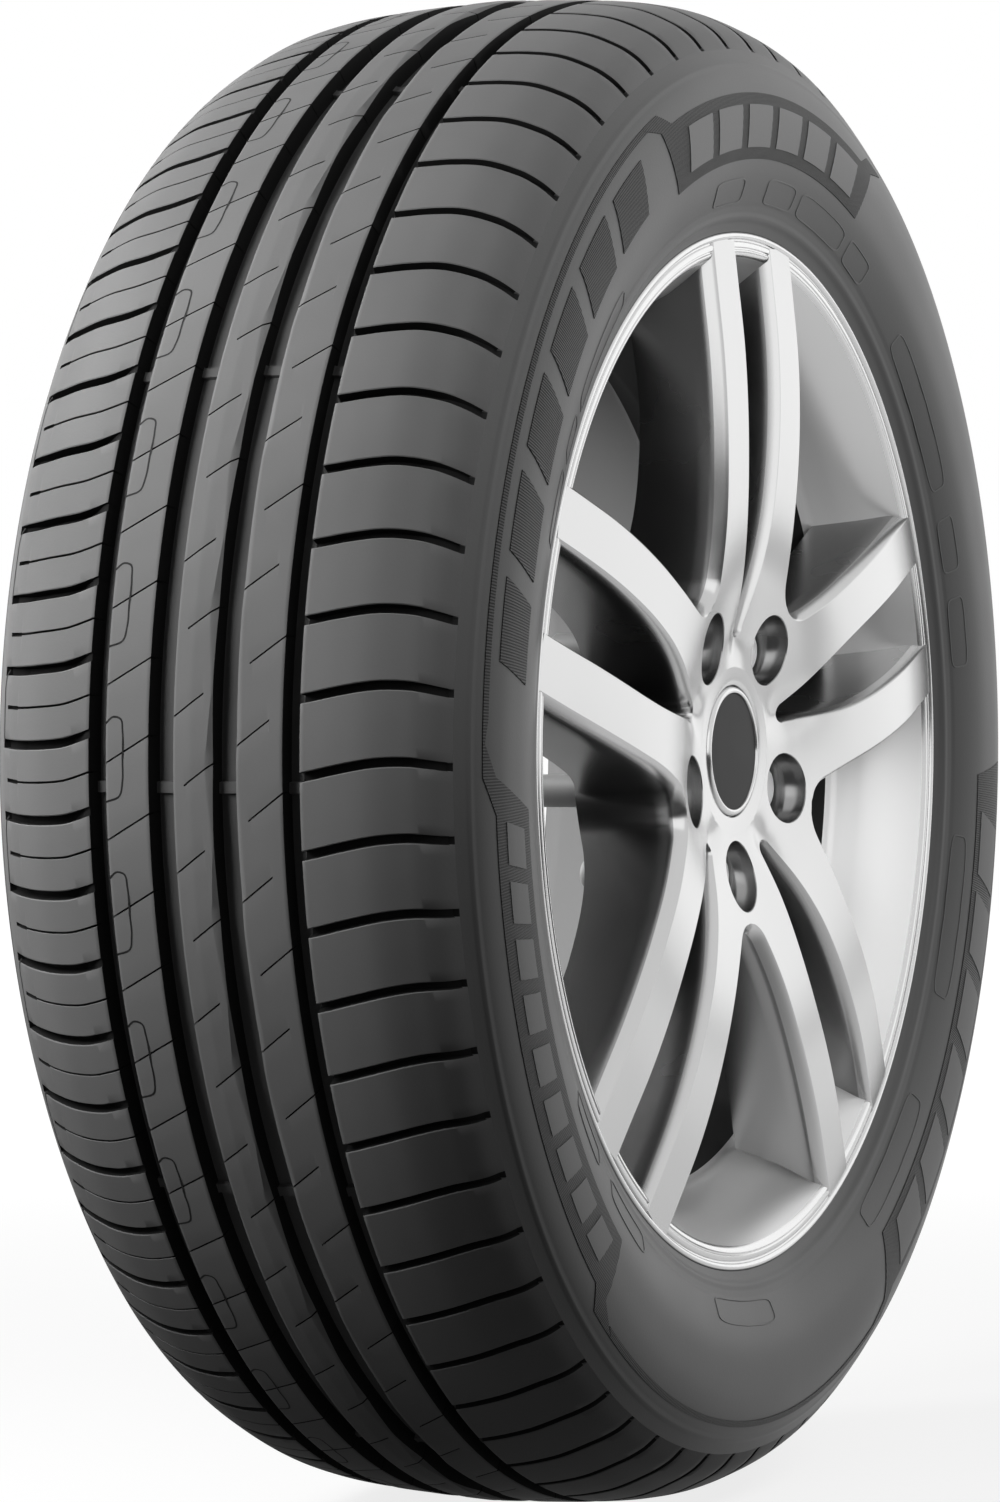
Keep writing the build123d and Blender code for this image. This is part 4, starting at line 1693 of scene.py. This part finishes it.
@dataclass
class Studio:
    """The pale floor, white surround, soft lamps and the camera fitted to the photograph.

    Attributes:
        azimuth: Camera azimuth in degrees.
        elevation: Camera elevation in degrees.
        camera_place: Camera position in metres.
        focal_pixels: Focal length in pixels of the photograph.
        principal: Principal point in pixels of the photograph.
        sensor: Sensor size for the longer side in millimetres.
        clip_start: Distance in metres from which the camera sees.
        surround: Strength of the surround for diffuse light.
        floor_level: Height of the floor in metres.
        floor_half: Half of the floor's width in metres.
        floor_steps: Lines of the floor's grid each way.
        floor_tone: Tone of the floor to the camera.
        floor_bounce: Share of the light that the floor throws back onto the object.
        floor_roughness: Roughness of the floor.
        floor_glow: Strength of the floor's white.
        clear_reach: Distances from the wheel's centre between which the shadow fades, in metres.
        clear_least: Share of white where the shadow is in full.
        glow_place: Middle of the floor's white in mirrors, in metres.
        glow_reach: Distances from there where that white starts and where it is full, in metres.
        lamps: The soft lamps.
    """

    azimuth: float = -64.7587
    elevation: float = 0.3098
    camera_place: tuple[float, float, float] = (-2.0525, -0.94511, 0.02197)
    focal_pixels: float = 5159.18
    principal: tuple[float, float] = (500.892, 728.077)
    sensor: float = 36.0
    clip_start: float = 0.05
    surround: float = 0.05
    floor_level: float = -0.3262
    floor_half: float = 6.0
    floor_steps: int = 9
    floor_tone: float = 0.8
    floor_bounce: float = 0.09
    floor_roughness: float = 0.9
    floor_glow: float = 1.05
    clear_reach: tuple[float, float] = (0.6, 1.8)
    clear_least: float = 0.78
    glow_place: tuple[float, float] = (1.6, -0.6)
    glow_reach: tuple[float, float] = (1.85, 1.5)
    lamps: tuple[Lamp, ...] = (
        Lamp("key_lamp", (-0.88, 0.48, 0.45), 0.5, 11.8, Shown.MATT),
        Lamp("right_card", (2.2, -1.3, 0.5), 2.2, 6.8, Shown.GLOSSY),
        Lamp("fill_lamp", (-0.04, -0.6, 0.34), 0.3, 2.5, Shown.MATT),
        Lamp("left_card", (-0.4, 2.4, 0.6), 1.8, 12.0, Shown.MATT),
        Lamp("front_card", (-2.9, -2.3, 0.5), 3.2, 16.0, Shown.GLOSSY),
        Lamp("top_card", (-0.3, -1.2, 2.2), 1.8, 9.0, Shown.MATT),
        Lamp("back_lamp", (-0.5, 1.3, 1.2), 0.5, 16.0),
    )

    @staticmethod
    def _aimed(back: np.ndarray, place: Sequence[float]) -> Matrix:
        """Return the level pose of a camera or lamp.

        Its axes are right, which is +Z crossed with back, then back crossed with right, then back.

        Args:
            back: Unit direction away from what it looks at.
            place: Position in metres.

        Returns:
            The pose as a matrix.
        """
        right = np.cross((0.0, 0.0, 1.0), back)
        right /= np.linalg.norm(right)
        pose = np.eye(4)
        pose[:3] = np.stack([right, np.cross(back, right), back, place], 1)
        return Matrix(pose.tolist())

    def add_camera(self) -> None:
        """Place the camera at the photograph's view and make it the scene's."""
        azimuth, elevation = math.radians(self.azimuth), math.radians(self.elevation)
        level = math.cos(elevation)
        back = (math.sin(azimuth) * level, -math.cos(azimuth) * level, math.sin(elevation))
        data = bpy.data.cameras.new("photo_camera")
        data.sensor_width = self.sensor
        data.lens = self.focal_pixels * self.sensor / IMAGE_HEIGHT
        data.shift_x = -(self.principal[0] - IMAGE_WIDTH / 2) / IMAGE_HEIGHT
        data.shift_y = (self.principal[1] - IMAGE_HEIGHT / 2) / IMAGE_HEIGHT
        data.clip_start = self.clip_start
        camera = link_object("photo_camera", data)
        camera.matrix_world = self._aimed(np.array(back), self.camera_place)
        bpy.context.scene.camera = camera

    @staticmethod
    def _rays(tree: bpy.types.NodeTree) -> tuple[bpy.types.NodeSocket, bpy.types.NodeSocket]:
        """Add the nodes that tell which ray meets a surface.

        Args:
            tree: Nodes of the floor or the surround.

        Returns:
            Sockets that are 1 for the camera's rays, and for mirrored and passed rays.
        """
        path = add_node(tree, "LightPath", {}).outputs
        mirrored = add_math(tree, "MAXIMUM", path["Is Glossy Ray"], path["Is Transmission Ray"])
        return path["Is Camera Ray"], mirrored

    def add_surround(self) -> None:
        """Make the surround white to the camera and in mirrors, and a plain soft light elsewhere."""
        world = bpy.data.worlds.new("white_surround")
        world.use_nodes = True
        tree = world.node_tree
        seen = add_math(tree, "MAXIMUM", *self._rays(tree))
        strength = add_node(tree, "MapRange", {"Value": seen, "To Min": self.surround, "To Max": 1.0})
        background = tree.nodes["Background"]
        background.inputs["Color"].default_value = (1.0, 1.0, 1.0, 1.0)
        tree.links.new(strength.outputs["Result"], background.inputs["Strength"])
        bpy.context.scene.world = world

    def add_floor(self) -> None:
        """Lay a pale floor that the camera sees as white, with the object's soft shadow near it.

        The share of white is 1 for the camera and, round the glow's place, for mirrored rays. Near the
        object it is a little less, so that the lit floor with the shadow shows through.
        """
        step = np.linspace(-self.floor_half, self.floor_half, self.floor_steps)
        x, y = np.meshgrid(step, step)
        points = np.stack([x, y, np.full_like(x, self.floor_level)], -1)
        material = bpy.data.materials.new("pale_floor")
        material.use_nodes = True
        tree = material.node_tree
        camera, mirrored = self._rays(tree)
        bounce = {"Value": camera, "To Min": self.floor_bounce, "To Max": self.floor_tone}
        tone = add_node(tree, "MapRange", bounce).outputs["Result"]
        shader = tree.nodes["Principled BSDF"]
        shader.inputs["Roughness"].default_value = self.floor_roughness
        shader.inputs["Specular IOR Level"].default_value = 0.0
        tree.links.new(tone, shader.inputs["Base Color"])
        place = add_node(tree, "TexCoord", {}).outputs["Object"]
        middle = (*self.glow_place, self.floor_level)
        apart = add_node(tree, "VectorMath", {0: place, 1: middle}, operation="DISTANCE").outputs["Value"]
        start, full = self.glow_reach
        glowing = add_node(tree, "MapRange", {"Value": apart, "From Min": start, "From Max": full})
        mirrored = add_math(tree, "MULTIPLY", mirrored, glowing.outputs["Result"])
        shown = add_math(tree, "MAXIMUM", camera, mirrored)
        away = add_node(tree, "VectorMath", {0: place}, operation="LENGTH").outputs["Value"]
        near, far = self.clear_reach
        fading = {"Value": away, "From Min": near, "From Max": far, "To Min": self.clear_least}
        clear = add_node(tree, "MapRange", fading).outputs["Result"]
        share = add_math(tree, "MULTIPLY", shown, clear)
        glow = add_node(tree, "Emission", {"Strength": self.floor_glow}).outputs["Emission"]
        mix = add_node(tree, "MixShader", {"Fac": share, 1: shader.outputs["BSDF"], 2: glow})
        tree.links.new(mix.outputs["Shader"], tree.nodes["Material Output"].inputs["Surface"])
        build_object("floor", [SurfaceGrid(points)], [material])

    def add_lamps(self) -> None:
        """Hang the soft lamps, each one turned to the wheel's centre."""
        for lamp in self.lamps:
            data = bpy.data.lights.new(lamp.name, "AREA")
            data.size = lamp.size
            data.energy = lamp.power
            hung = link_object(lamp.name, data)
            hung.matrix_world = self._aimed(np.array(lamp.place) / np.linalg.norm(lamp.place), lamp.place)
            hung.visible_diffuse = lamp.shown is not Shown.GLOSSY
            hung.visible_glossy = lamp.shown is not Shown.MATT


def place_pieces(pieces: Sequence[bpy.types.Object], slot: str, *nodes: str) -> None:
    """Let pieces ride on the object and hide the solids that they stand for.

    Args:
        pieces: Pieces of one sub-assembly.
        slot: Material slot of the record; not used.
        nodes: Solids that the first piece stands for.
    """
    for piece in pieces:
        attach(piece, BODY)
        LOG.info("%s: %d faces", piece.name, len(piece.data.polygons))
    if nodes:
        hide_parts(*nodes)


def dress_solid(solid: bpy.types.Object, material: bpy.types.Material) -> None:
    """Give a finish to a solid that is shown as it is.

    Args:
        solid: The solid's object.
        material: Material of the finish.
    """
    solid.data.materials.clear()
    solid.data.materials.append(material)
    LOG.info("%s: solid with %s", solid.name, material.name)


def main() -> None:
    """Build every sub-assembly on the frame, then the studio."""
    logging.basicConfig(level=logging.INFO, format="%(name)s %(message)s")
    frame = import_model()
    paints = Finishes().materials()
    place_pieces(Tread().build(paints), "tyre_rubber", "tyre")
    place_pieces(Sidewalls().build(paints), "tyre_rubber")
    place_pieces(SpokedFace().build(paints), "silver_alloy", "wheel")
    place_pieces(Rim().build(paints), "silver_alloy")
    place_pieces(WheelBolts().build(paints), "bolt_steel", "wheel_bolts")
    ring, disc = CentreCap().build(paints)
    place_pieces([ring], "cap_silver", "centre_cap")
    place_pieces([disc], "disc_dark", "cap_disc")
    nodes = frame["nodes"]
    dress_solid(nodes["valve_body"], paints["valve_rubber"])
    dress_solid(nodes["valve_core"], paints["valve_brass"])
    dress_solid(nodes["valve_cap"], paints["valve_plastic"])
    studio = Studio()
    studio.add_camera()
    studio.add_surround()
    studio.add_floor()
    studio.add_lamps()
    bpy.context.scene.view_settings.view_transform = "Standard"


if __name__ == "__main__":
    main()
